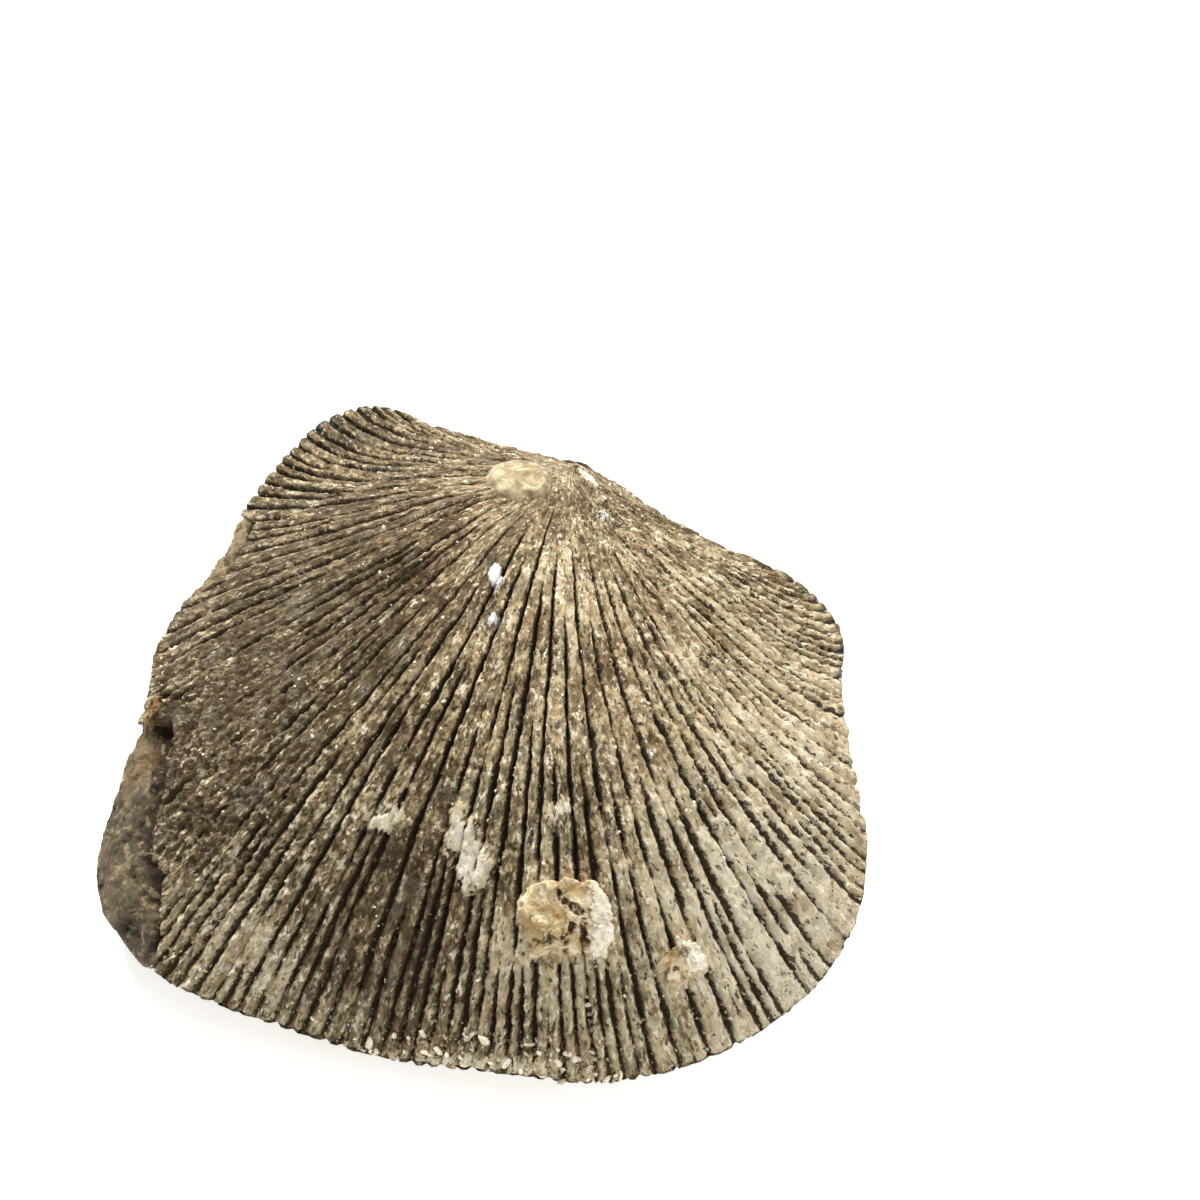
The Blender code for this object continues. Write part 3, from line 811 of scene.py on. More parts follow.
def upperColumns():
    columns = shellColumns(ribs["columnsEach"])
    end = columns["end"][:, None]
    left, drop, _, inside = (value[:, None] for value in breakAt(columns["end"]))
    wobble = softRandom(len(end), 2, 11)[:, None] * upperValve["edgeWobble"]
    wobble = wobble + softRandom(len(end), 4, 12)[:, None] * upperValve["breakWobble"] * inside
    left = left + wobble
    share = np.linspace(upperValve["firstRow"], 1.0, upperValve["rows"])[None, :] * left
    x, y = along(shell["beak"], end, share)
    z = upperHeight(x, y)
    away = normalOf(upperHeight, x, y)
    skin = 1.0 - (1.0 - upperValve["edgeSkin"]) * smoothStep(0.975, 1.0, share / left)
    # the edge turns down and in
    edgeAway = away[:, -1:]
    outward = outwardFrom(end)
    depth = drop + upperValve["deeper"] * inside
    wallX, wallY, wallZ, wallAway, wallSkin = [], [], [], [], []
    for down in upperValve["wallRows"]:
        inset = upperValve["lean"] * down * inside + (upperValve["roundIn"] / reach(shell["beak"], end)) * down ** 2
        rowX, rowY = along(shell["beak"], end, left - inset)
        wallX.append(rowX)
        wallY.append(rowY)
        wallZ.append(z[:, -1:] - depth * down)
        mix = edgeAway * (1.0 - down) + outward * down
        wallAway.append(mix / np.linalg.norm(mix, axis=-1, keepdims=True))
        wallSkin.append(np.full_like(rowX, upperValve["edgeSkin"] * (1.0 - 0.5 * down)))
    insideX, insideY, insideZ = [], [], []
    for row in upperValve["insideRows"]:
        rowX, rowY = along(shell["beak"], end, row * left)
        insideX.append(rowX)
        insideY.append(rowY)
        behind = upperValve["thicker"] * inside * smoothStep(0.5, 0.9, row)
        insideZ.append(upperHeight(rowX, rowY) - upperValve["thickness"] - behind)
    pitch = np.zeros_like(x)
    perRib = ribs["columnsEach"]
    for index in range(ribs["count"]):
        first, last = index * perRib, (index + 1) * perRib
        pitch[first:last + 1] = np.hypot(x[last] - x[first], y[last] - y[first])
    pitch[ribs["count"] * perRib + 1:] = ribs["hingePitch"] * share[ribs["count"] * perRib + 1:]
    points = sideBySide((x, *wallX, *insideX), (y, *wallY, *insideY), (z, *wallZ, *insideZ))
    x, y = points[..., 0], points[..., 1]
    hidden = len(upperValve["insideRows"])
    extra = len(upperValve["wallRows"])
    away = np.concatenate([away, *wallAway, np.repeat(outward * 0.0, hidden, axis=1)], axis=1)
    skin = np.concatenate([skin, *wallSkin, np.zeros((len(end), hidden))], axis=1)

    def grown(table):       # the edge's values go on over the wall
        return np.concatenate([table, np.repeat(table[:, -1:], extra + hidden, axis=1)], axis=1)

    whole = np.ones_like(x)
    way = grown(share) * reach(shell["beak"], end)
    way[:, upperValve["rows"]:upperValve["rows"] + extra] += depth * np.array(upperValve["wallRows"])
    values = {label: columns[label][:, None] * whole for label in columnLabels}
    values |= {
        "out": grown(share),
        "way": way * mm,
        "coarse": 1.0 - patchField("smooth", x, y) + patchField("rough", x, y),
        "pitch": grown(pitch) * mm,
        "skin": skin,
        # the stone's own tone, with painted light on the right flank
        "tone": 0.5 - patchField("dark", x, y) + patchField("light", x, y),
        # painted shade along the back edge
        "paintedBackShade": smoothStep(*upperValve["paintedBackShadeBand"], grown(share)) * smoothStep(*upperValve["paintedBackShadeFrom"], y),
    }
    values |= {kind: patchField(kind, x, y) for kind in ("wear", "bold", "crumbs", "chalk", "white")}
    return points, values, away


def buildUpperValve(tree, material):
    points, values, away = upperColumns()
    perRib = ribs["columnsEach"]
    stops = [0, *(rib * perRib for rib in upperValve["thirds"]), len(points)]
    outerRows = upperValve["rows"] + 2
    made = []
    for number, (first, last) in enumerate(zip(stops, stops[1:])):
        rows = list(range(first, last + 1 if last < len(points) else last)) + ([0] if last == len(points) else [])
        piece = points[rows]
        quads, triangles = columnFaces(len(rows), piece.shape[1], False, outerRows)
        poleX, poleY = shell["beak"]
        poleTop = float(upperHeight(np.float64(poleX), np.float64(poleY)))
        pointList = withPoles(piece, (poleX, poleY, poleTop), (poleX, poleY, poleTop - upperValve["thickness"]))
        own = polesToo(values, rows)
        own["skin"][-2:] = 0.0
        direction = withPoles(away[rows], upward, downward)
        thing = makeObject("upperValve" + "ABC"[number], pointList, quads, triangles, own, direction)
        runTree(thing, tree, carving, material)
        made.append(thing)
    return made


# ---- rock between the valves ----

rockFill = {
    "spacing": (0.6, 0.17),         # of the columns along the edge, hidden and bare
    "insideShares": (0.1, 0.3, 0.5, 0.65, 0.74),
    "bareShares": (0.79, 1.0),
    "bareRows": 50,
    "wallRows": 14,
    "wallDrop": (0.75, 1.0),        # below its top outside and inside a break
    "bulge": 0.8,
    "undercut": 0.03,
    "inShell": 0.9,                 # depth of its top under the upper valve
    "top": 8.0,                     # at the beak, where it is hidden
    "bottom": 3.4,
    "creviceShadeAndDirt": 0.5,                 # share of the bare rock that is painted dark: dirt and painted shade under the valve's broken edge
    "step": 0.02,
    "aroundBreak": 0.6,
    "lean": 0.008,
    "under": 0.15,
    "hiddenShares": (0.9, 0.6, 0.2),
    # how much of the carving is left: under the valve, and on the wall outside and inside a break
    "coveredSkin": 0.25,
    "wallSkin": (0.4, 0.3),
}
rockCarving = {
    "Lump Size": 3.2 * mm,
    "Lump Height": 1.6 * mm,
    "Bump Size": 1.0 * mm,
    "Bump Height": 0.8 * mm,
    "Grain Size": 0.35 * mm,
    "Grain Height": 0.14 * mm,
    "Pit Size": 1.1 * mm,
    "Pit Depth": 0.35 * mm,
    "Block Size": 1.1 * mm,
    "Block Height": 0.65 * mm,
    "Hollow Depth": 0.0,
    "Seed": 21.0,
}


def rockTree(name, defaults):
    tree, sizes = newTree(name, defaults)
    where = put(tree, "GeometryNodeInputPosition").outputs[0]
    seed = sizes["Seed"]
    lumps = centred(tree, noise(tree, where, sizes["Lump Size"], 2.0, 0.5, seed))
    bumps = centred(tree, noise(tree, where, sizes["Bump Size"], 3.0, 0.6, plus(tree, seed, 1.0)))
    grain = centred(tree, noise(tree, where, sizes["Grain Size"], 2.0, 0.6, plus(tree, seed, 2.0)))
    pit = pitMask(tree, where, sizes["Pit Size"], seed, 0.4, 0.33)
    blocks = centred(tree, mosaic(tree, where, sizes["Block Size"], plus(tree, seed, 3.0)))
    hollow = attribute(tree, "hollow")
    ragged = timesPlus(tree, blocks, 0.9, timesPlus(tree, grain, 1.2, times(tree, bumps, 2.0)))
    hollow = timesPlus(tree, ragged, ramp(tree, hollow, 0.05, 0.3), hollow)
    hollow = ramp(tree, hollow, 0.32, 0.55)
    pushOut(tree, sizes, (
        (lumps, "Lump Height"), (bumps, "Bump Height"), (grain, "Grain Height"),
        (pit, "-Pit Depth"), (blocks, "Block Height"), (hollow, "-Hollow Depth"),
    ), {"pit": pit, "hollow": hollow})
    return tree


def edgeEnds():     # directions of the rock's columns, closer together where it is bare
    line = np.concatenate((curve, curve[:1]))
    run = np.insert(np.cumsum(np.hypot(*np.diff(line, axis=0).T)), 0, 0.0)
    fine = np.arange(0.0, run[-1], rockFill["step"])
    x, y = np.interp(fine, run, line[:, 0]), np.interp(fine, run, line[:, 1])
    end = directionFrom(shell["beak"], x, y)
    bare = np.clip(sum(breakAt(end + side * rockFill["aroundBreak"])[3] for side in (1, -1)), 0.0, 1.0)
    density = 1.0 / (rockFill["spacing"][0] + (rockFill["spacing"][1] - rockFill["spacing"][0]) * bare)
    total = np.cumsum(density) * rockFill["step"]
    chosen = np.interp(np.arange(0.0, total[-1]), total, fine)
    x, y = np.interp(chosen, run, line[:, 0]), np.interp(chosen, run, line[:, 1])
    # the edge runs anticlockwise, the columns go clockwise
    return directionFrom(shell["beak"], x, y)[::-1]


def buildRock(material):
    end = edgeEnds()
    left, drop, sill, inside = (value[:, None] for value in breakAt(end))
    end = end[:, None]
    bareShares = np.linspace(*rockFill["bareShares"], rockFill["bareRows"])
    share = np.concatenate((rockFill["insideShares"], bareShares))[None, :]
    inset = shell["grooveInset"] * (1.0 - inside)
    x, y = along(shell["beak"], end, share, inset * share ** 6)
    under = upperHeight(x, y) - rockFill["inShell"]
    rimX, rimY = along(shell["beak"], end, 1.0)
    line = shell["edgeHeight"] + foldHeight(rimX, rimY)
    breakX, breakY = along(shell["beak"], end, left)
    foot = upperHeight(breakX, breakY) - drop
    way = np.clip((share - left) / np.maximum(1.0 - left, 0.02), 0.0, 1.0)
    bared = foot * (1.0 - way) + sill * way + rockFill["bulge"] * 4.0 * way * (1.0 - way)
    bare = inside * smoothStep(-3.0 * rockFill["undercut"], -0.5 * rockFill["undercut"], share - left)
    covered = np.minimum(under, line - rockFill["under"] + 40.0 * (1.0 - share))
    z = covered * (1.0 - bare) + bared * bare
    away = normalOf(upperHeight, x, y)
    outward = outwardFrom(end)
    skin = rockFill["coveredSkin"] + (1.0 - rockFill["coveredSkin"]) * bare
    skin[:, :len(rockFill["insideShares"])] = 0.0
    skin = skin * (1.0 - 0.3 * inside * smoothStep(0.97, 1.0, share))
    wallX, wallY, wallZ, wallSkin = [], [], [], []
    depth = rockFill["wallDrop"][0] * (1.0 - inside) + rockFill["wallDrop"][1] * inside
    for step in np.linspace(0.0, 1.0, rockFill["wallRows"] + 1)[1:]:
        inX, inY = along(shell["beak"], end, 1.0 - rockFill["lean"] * inside * step ** 2, inset)
        wallX.append(inX)
        wallY.append(inY)
        wallZ.append(z[:, -1:] - depth * step)
        wallSkin.append((rockFill["wallSkin"][0] + rockFill["wallSkin"][1] * inside) * (1.0 - step))
    wallAway = np.repeat(outward, rockFill["wallRows"], axis=1)
    insideX, insideY = along(shell["beak"], end, np.array(rockFill["hiddenShares"])[None, :])
    bottom = rockFill["bottom"] * np.ones_like(insideX)
    points = sideBySide((x, *wallX, insideX), (y, *wallY, insideY), (z, *wallZ, bottom))
    points[:, -3, 2] = np.minimum(points[:, -3, 2], points[:, -4, 2])
    away = np.concatenate([away, wallAway, np.repeat(outward * 0.0, insideX.shape[1], axis=1)], axis=1)
    skin = np.concatenate([skin, *wallSkin, np.zeros_like(insideX)], axis=1)
    quads, triangles = columnFaces(len(end), points.shape[1], True, share.shape[1])
    poleX, poleY = shell["beak"]
    pointList = withPoles(points, (poleX, poleY, rockFill["top"]), (poleX, poleY, rockFill["bottom"]))
    # dirt and painted shade, darkest at the foot of the break
    creviceShadeAndDirt = np.ones(points.shape[:2])
    creviceShadeAndDirt[:, :share.shape[1]] = smoothStep(0.0, rockFill["creviceShadeAndDirt"], way)
    values = {"skin": np.append(skin.ravel(), (0.0, 0.0)), "creviceShadeAndDirt": np.append(creviceShadeAndDirt.ravel(), (1.0, 1.0))}
    thing = makeObject("rockFill", pointList, quads, triangles, values, withPoles(away, upward, downward))
    runTree(thing, rockTree("bareRock", rockCarving), rockCarving, material)
    return thing


rockTints = {
    # from the front to the back
    "front": colour(86, 76, 62),
    "brown": colour(112, 86, 54),
    "back": colour(150, 132, 98),
    "pale": colour(172, 152, 112),
    "grey": colour(140, 126, 98),
    "chips": colour(66, 52, 32),
    # dirt and painted shade in the crevice under the broken edge
    "dirtAndShade": colour(44, 33, 20),
    "specks": colour(64, 52, 36),
    "pits": colour(48, 38, 26),
}


def rockMaterial():
    material, tree, surface = newMaterial("brown and grey matrix")
    where = put(tree, "ShaderNodeTexCoord").outputs["Object"]
    high = put(tree, "ShaderNodeSeparateXYZ", {0: where}).outputs
    upDown = timesPlus(tree, centred(tree, noise(tree, where, 2.0 * mm, 4.0, 0.6, 1.0)), 8.0 * mm, high[1])
    base = blendColour(tree, ramp(tree, upDown, -15.5 * mm, -11.0 * mm), rockTints["front"], rockTints["brown"])
    base = blendColour(tree, ramp(tree, upDown, -4.0 * mm, 0.0), base, rockTints["back"])
    base = blots(tree, where, base, rockTints["grey"], 2.2 * mm, 0.42, 0.6, 3.0, 0.6)
    chips = centred(tree, mosaic(tree, where, 0.4 * mm, 5.0))
    base = blendColour(tree, ramp(tree, chips, 0.0, 0.5, 0.0, 0.7), base, rockTints["chips"])
    # dirt and painted shade in the crevice under the upper valve's broken edge
    torn = centred(tree, noise(tree, where, 0.8 * mm, 4.0, 0.65, 9.0))
    dirtAndShade = ramp(tree, timesPlus(tree, torn, 2.2, shaderValue(tree, "creviceShadeAndDirt")), 0.3, 0.9, 1.0, 0.0)
    base = blendColour(tree, times(tree, dirtAndShade, 0.9), base, rockTints["dirtAndShade"])
    base = blots(tree, where, base, rockTints["specks"], 0.4 * mm, 0.56, 0.68, 4.0, 0.8)
    base = blots(tree, where, base, rockTints["pale"], 0.6 * mm, 0.54, 0.64, 5.0, 0.6)
    base = blendColour(tree, times(tree, shaderValue(tree, "pit"), 0.8), base, rockTints["pits"])
    rough = ramp(tree, noise(tree, where, 0.6 * mm, 3.0, 0.6, 6.0), 0.3, 0.7, 0.6, 0.95)
    relief = noise(tree, where, 0.18 * mm, 4.0, 0.7, 8.0)
    relief = timesPlus(tree, noise(tree, where, 0.6 * mm, 3.0, 0.6, 7.0), 1.5, relief)
    relief = timesPlus(tree, chips, -0.6, relief)
    finishSurface(tree, surface, base, rough, relief, 0.8, 0.16 * mm)
    return material


# ---- lower valve ----

lowerValve = {
    "columnsEach": 12,
    "capShares": (0.2, 0.6, 0.9, 0.975),
    "underRows": 104,
    "lastShare": 0.04,
    "tipRise": 1.6,
    "tipWidth": 3.0,
    "flatFade": 0.8,
    "capBelow": 1.2,
    "inBreak": 0.1,             # below the sill
    "firstShare": 0.995,
    "blend": (0.93, 1.0),
    "rimDrop": 0.15,
    "rimSkin": 0.5,
    "wear": 0.25,
    # slow change of colour: middle, amount and the lengths along x and y
    "tone": (0.5, 0.2, 7.0, 9.0),
}
lowerCarving = dict(carving, **{"Groove Depth": 0.4 * mm, "Seed": 40.0})


def buildLowerValve(tree, material):
    columns = shellColumns(lowerValve["columnsEach"])
    end = columns["end"]
    sill, inside = breakAt(end)[2:]
    rimX, rimY = along(shell["beak"], end, 1.0)
    behind = rimY > shell["beak"][1] + 1.0
    tip = lowerValve["tipRise"] * np.exp(-((rimX - shell["lowerBeak"][0]) / lowerValve["tipWidth"]) ** 2) * behind
    rimZ = shell["edgeHeight"] + foldHeight(rimX, rimY) - shell["valveGap"] + tip
    rimZ = rimZ * (1.0 - inside) + (sill - lowerValve["inBreak"]) * inside
    lowerEnd = directionFrom(shell["lowerBeak"], rimX, rimY)[:, None]
    capX, capY = along(shell["lowerBeak"], lowerEnd, np.array(lowerValve["capShares"])[None, :])
    capZ = np.repeat(rimZ[:, None], capX.shape[1], axis=1)
    capZ[:, :2] = shell["edgeHeight"] - lowerValve["capBelow"]
    share = np.linspace(lowerValve["firstShare"], lowerValve["lastShare"], lowerValve["underRows"])[None, :]
    x, y = along(shell["lowerBeak"], lowerEnd, share)
    z = lowerHeight(x, y)
    # from the rim's height to the bowl's over the first rows
    near = smoothStep(*lowerValve["blend"], share)
    z = z * (1.0 - near) + (rimZ[:, None] - lowerValve["rimDrop"]) * near
    away = -normalOf(lowerHeight, x, y)
    z = np.maximum(z, 0.0)
    skin = smoothStep(0.05, lowerValve["flatFade"], z)
    outward = outwardFrom(lowerEnd)
    points = sideBySide((capX, rimX[:, None], x), (capY, rimY[:, None], y), (capZ, rimZ[:, None], z))
    caps = capX.shape[1]
    away = np.concatenate([np.repeat(outward * 0.0, caps, axis=1), outward, away], axis=1)
    rimSkin = np.full((len(end), 1), lowerValve["rimSkin"])
    skin = np.concatenate([np.zeros_like(capX), rimSkin, skin], axis=1)
    perRib = lowerValve["columnsEach"]
    pitch = np.full(points.shape[:2], ribs["hingePitch"])
    for index in range(ribs["count"]):
        first, last = index * perRib, (index + 1) * perRib
        pitch[first:last + 1] = np.hypot(*(points[last, :, :2] - points[first, :, :2]).T)
    whole = np.ones(points.shape[:2])
    out = np.concatenate([np.ones((len(end), caps + 1)), share + 0.0 * x], axis=1)
    quads, triangles = columnFaces(len(end), points.shape[1], True, caps + 1)
    poleX, poleY = shell["lowerBeak"]
    poleZ = max(float(lowerHeight(np.float64(poleX), np.float64(poleY))), 0.0)
    top = (poleX, poleY, shell["edgeHeight"] - lowerValve["capBelow"])
    pointList = withPoles(points, top, (poleX, poleY, poleZ))
    middle, amount, lengthX, lengthY = lowerValve["tone"]
    values = {label: columns[label][:, None] * whole for label in columnLabels}
    values |= {label: 0.0 * whole for label in ("bold", "crumbs", "chalk", "white", "paintedBackShade")}
    values |= {
        "out": out,
        "way": out * reach(shell["beak"], end)[:, None] * mm,
        "coarse": whole,
        "pitch": pitch * mm,
        "skin": skin,
        "wear": lowerValve["wear"] * whole,
        "tone": middle + amount * np.sin(points[..., 0] / lengthX) * np.cos(points[..., 1] / lengthY),
    }
    direction = withPoles(away, upward, downward)
    thing = makeObject("lowerValve", pointList, quads, triangles, polesToo(values), direction)
    runTree(thing, tree, lowerCarving, material)
    return thing


# ---- crusts grown on the shell ----

# place, half sizes and turn in plan; hollows and rings are placed in shares of the half sizes:
# along, across, half length, half width, strength; colours: low, main, high and in the pits
crusts = {
    "bigCrust": {
        "at": (11.4, -9.35), "size": (2.75, 1.98), "turn": 27.0, "height": 0.95, "square": 4.0, "uneven": 0.09,
        "shoulder": (0.84, 1.06), "columns": 200, "rows": 60, "white": 0.45,
        "hollows": (
            (0.38, -0.65, 0.13, 0.45, 1.0), (-0.2, 0.42, 0.14, 0.2, 0.75), (-0.08, 0.26, 0.12, 0.14, 0.75),
            (0.08, 0.15, 0.16, 0.12, 0.85), (0.32, 0.05, 0.2, 0.1, 0.8), (-0.5, -0.72, 0.3, 0.16, 0.6),
            (-0.05, -0.8, 0.12, 0.3, 0.6), (0.1, -0.4, 0.12, 0.2, 0.5),
        ),
        "rings": (),
        "finish": "cream crust",
        "colours": ((178, 148, 98), (218, 199, 156), (242, 231, 202), (92, 66, 34)),
    },
    "smallCrust": {
        "at": (18.3, -7.4), "size": (1.3, 1.1), "turn": 60.0, "height": 0.4, "square": 2.2, "uneven": 0.4,
        "shoulder": (0.75, 1.1), "columns": 120, "rows": 36, "white": 0.0,
        "hollows": ((0.1, 0.1, 0.3, 0.25, 0.7), (-0.5, -0.3, 0.25, 0.25, 0.6)),
        "rings": (),
        "finish": "pale crust",
        "colours": ((170, 144, 98), (226, 210, 172), (244, 234, 208), (96, 76, 46)),
    },
    "beakCrust": {
        "at": (-6.25, 16.5), "size": (2.35, 3.0), "turn": 32.0, "height": 0.42, "square": 2.2, "uneven": 0.1,
        "shoulder": (0.7, 1.1), "columns": 150, "rows": 56, "white": 9.0,
        "hollows": (),
        "rings": ((0.33, -0.3, 0.36, 0.42, 0.28),),
        "finish": "smooth beige crust",
        "colours": ((134, 118, 88), (174, 157, 124), (204, 189, 156), (112, 94, 62)),
    },
    "poreCrust": {
        "at": (-21.0, -7.75), "size": (1.05, 0.65), "turn": 110.0, "height": 0.4, "square": 2.2, "uneven": 0.25,
        "shoulder": (0.7, 1.12), "columns": 100, "rows": 30, "white": 9.0,
        "hollows": ((0.3, 0.1, 0.18, 0.25, 0.8), (-0.2, -0.2, 0.18, 0.25, 0.8), (-0.6, 0.2, 0.15, 0.25, 0.7)),
        "rings": (),
        "finish": "porous brown crust",
        "colours": ((90, 66, 36), (138, 110, 68), (180, 156, 112), (46, 33, 18)),
    },
}
crustShape = {
    "sunk": 0.5,
    "skirt": 0.3,
    "depth": 0.8,
    "firstRow": 0.012,
    "rowPower": 1.4,
    "ringWidth": 0.3,
    "wallRise": 0.3,
    "wallFrom": 0.8,            # share of the shoulder's start
    "rimSkin": 0.4,
}
# in millimetres, in the order of the crusts
crustSizes = {
    "Lump Size": (1.1, 0.8, 1.6, 0.8),
    "Lump Height": (0.5, 0.5, 0.25, 0.3),
    "Bump Size": (0.42, 0.4, 0.6, 0.3),
    "Bump Height": (0.3, 0.4, 0.12, 0.2),
    "Grain Size": (0.2, 0.2, 0.25, 0.15),
    "Grain Height": (0.1, 0.1, 0.04, 0.08),
    "Pit Size": (0.7, 0.7, 1.6, 0.4),
    "Pit Depth": (0.1, 0.1, 0.06, 0.2),
    "Block Size": (0.75, 0.5, 1.0, 0.4),
    "Block Height": (0.5, 0.5, 0.08, 0.2),
    "Hollow Depth": (0.6, 0.35, 0.0, 0.3),
}
crustSeed = 51
crustCarving = {
    name: {label: sizes[index] * mm for label, sizes in crustSizes.items()} | {"Seed": float(crustSeed + index)}
    for index, name in enumerate(crusts)
}


def buildCrust(name, tree, material):
    form = crusts[name]
    (midX, midY), (length, width), count = form["at"], form["size"], form["columns"]
    seed = int(crustCarving[name]["Seed"])
    angle = -np.linspace(0.0, 2.0 * np.pi, count, endpoint=False)[:, None]
    square = form["square"]
    outline = (np.abs(np.cos(angle)) ** square + np.abs(np.sin(angle)) ** square) ** (-1.0 / square)
    uneven = (softRandom(count, 7, seed) + 0.7 * softRandom(count, 2, seed + 9))[:, None]
    outline = outline * (1.0 + form["uneven"] * uneven)
    rows = np.linspace(crustShape["firstRow"], 1.0, form["rows"])[None, :]
    share = form["shoulder"][1] * (1.0 - (1.0 - rows) ** crustShape["rowPower"])
    u, v = np.cos(angle) * share * outline, np.sin(angle) * share * outline
    cosine, sine = math.cos(math.radians(form["turn"])), math.sin(math.radians(form["turn"]))
    x = midX + u * length * cosine - v * width * sine
    y = midY + u * length * sine + v * width * cosine
    rise = 1.0 - smoothStep(*form["shoulder"], share) + 0.0 * x
    hollow = np.zeros_like(x)
    top = form["height"] + 0.0 * x
    for midU, midV, halfU, halfV, strength in form["hollows"]:
        hollow = np.maximum(hollow, strength * np.exp(-((u - midU) / halfU) ** 2 - ((v - midV) / halfV) ** 2))
    for midU, midV, halfU, halfV, height in form["rings"]:
        fromRing = np.hypot((u - midU) / halfU, (v - midV) / halfV) - 1.0
        top = top + height * np.exp(-(fromRing / crustShape["ringWidth"]) ** 2)
    z = upperHeight(x, y) + (top + crustShape["sunk"]) * rise - crustShape["sunk"]
    away = normalOf(upperHeight, x, y)
    rises = np.full_like(u, crustShape["wallRise"])
    outward = np.stack((u * cosine - v * sine, u * sine + v * cosine, rises), axis=-1)
    outward = outward / np.linalg.norm(outward, axis=-1, keepdims=True)
    mix = smoothStep(crustShape["wallFrom"] * form["shoulder"][0], form["shoulder"][1], share)[..., None]
    away = away * (1.0 - mix) + outward * mix
    points = sideBySide((x, x[:, -1:]), (y, y[:, -1:]), (z, z[:, -1:] - crustShape["skirt"]))
    away = np.concatenate((away, away[:, -1:]), axis=1)
    skin = crustShape["rimSkin"] + (1.0 - crustShape["rimSkin"]) * rise
    skin = np.concatenate((skin, 0.0 * rise[:, -1:]), axis=1)
    quads, triangles = columnFaces(count, form["rows"] + 1, True, form["rows"])
    ground = float(upperHeight(np.float64(midX), np.float64(midY)))
    bottom = (midX, midY, ground - crustShape["sunk"] - crustShape["depth"])
    pointList = withPoles(points, (midX, midY, ground + top[0, 0]), bottom)
    values = {
        "skin": skin,
        "hollow": np.append(hollow, hollow[:, -1:], axis=1),
        "bright": np.append(u, u[:, -1:], axis=1) - form["white"],
    }
    direction = withPoles(away, away[0, 0], downward)
    thing = makeObject(name, pointList, quads, triangles, polesToo(values), direction)
    runTree(thing, tree, crustCarving[name], material)
    return thing


def crustMaterial(name, low, main, high, pits):
    material, tree, surface = newMaterial(name)
    where = put(tree, "ShaderNodeTexCoord").outputs["Object"]
    chips = mosaic(tree, where, 0.45 * mm, 3.0)
    base = blendColour(tree, speckle(tree, where, 1.1 * mm, 0.35, 0.65, 1.0), low, main)
    base = blots(tree, where, base, high, 0.9 * mm, 0.48, 0.6, 2.0, 0.8)
    base = blendColour(tree, times(tree, ramp(tree, chips, 0.5, 0.8), 0.4), base, low)
    torn = centred(tree, noise(tree, where, 0.6 * mm, 4.0, 0.65, 8.0))
    torn = timesPlus(tree, centred(tree, chips), 0.4, torn)
    bright = ramp(tree, timesPlus(tree, torn, 1.2, shaderValue(tree, "bright")), -0.08, 0.08)
    bright = times(tree, bright, ramp(tree, chips, 0.2, 0.6, 1.0, 0.6))
    base = blendColour(tree, bright, base, colour(250, 243, 226))
    base = blots(tree, where, base, low, 0.3 * mm, 0.55, 0.68, 3.0, 0.5)
    deep = calc(tree, "MAXIMUM", shaderValue(tree, "hollow"), times(tree, shaderValue(tree, "pit"), 0.5))
    base = blendColour(tree, ramp(tree, plus(tree, deep, torn), 0.3, 0.8, 0.0, 0.85), base, pits)
    rough = ramp(tree, noise(tree, where, 0.5 * mm, 3.0, 0.6, 4.0), 0.3, 0.7, 0.55, 0.9)
    relief = noise(tree, where, 0.12 * mm, 3.0, 0.7, 6.0)
    relief = timesPlus(tree, noise(tree, where, 0.4 * mm, 3.0, 0.6, 5.0), 1.5, relief)
    relief = timesPlus(tree, chips, 0.4, relief)
    finishSurface(tree, surface, base, rough, relief, 0.5, 0.12 * mm)
    return material


# ---- loose grains and crumbs on the valve ----

grit = {
    "Grains": 0.7e6,            # on a square metre
    "Edge Grains": 6.0,         # times as many along the edge
    "Smallest": 0.05 * mm,
    "Largest": 0.17 * mm,
    "Patch Size": 3.0 * mm,
    "Seed": 5.0,
}
crumbs = {
    "Grains": 9.0e6,
    "Edge Grains": 0.0,
    "Smallest": 0.12 * mm,
    "Largest": 0.36 * mm,
    "Patch Size": 2.0 * mm,
    "Seed": 8.0,
}


grainTurn = 6.28
grainLeast = (0.6, 0.5, 0.3)
grainMost = (1.4, 1.0, 0.7)


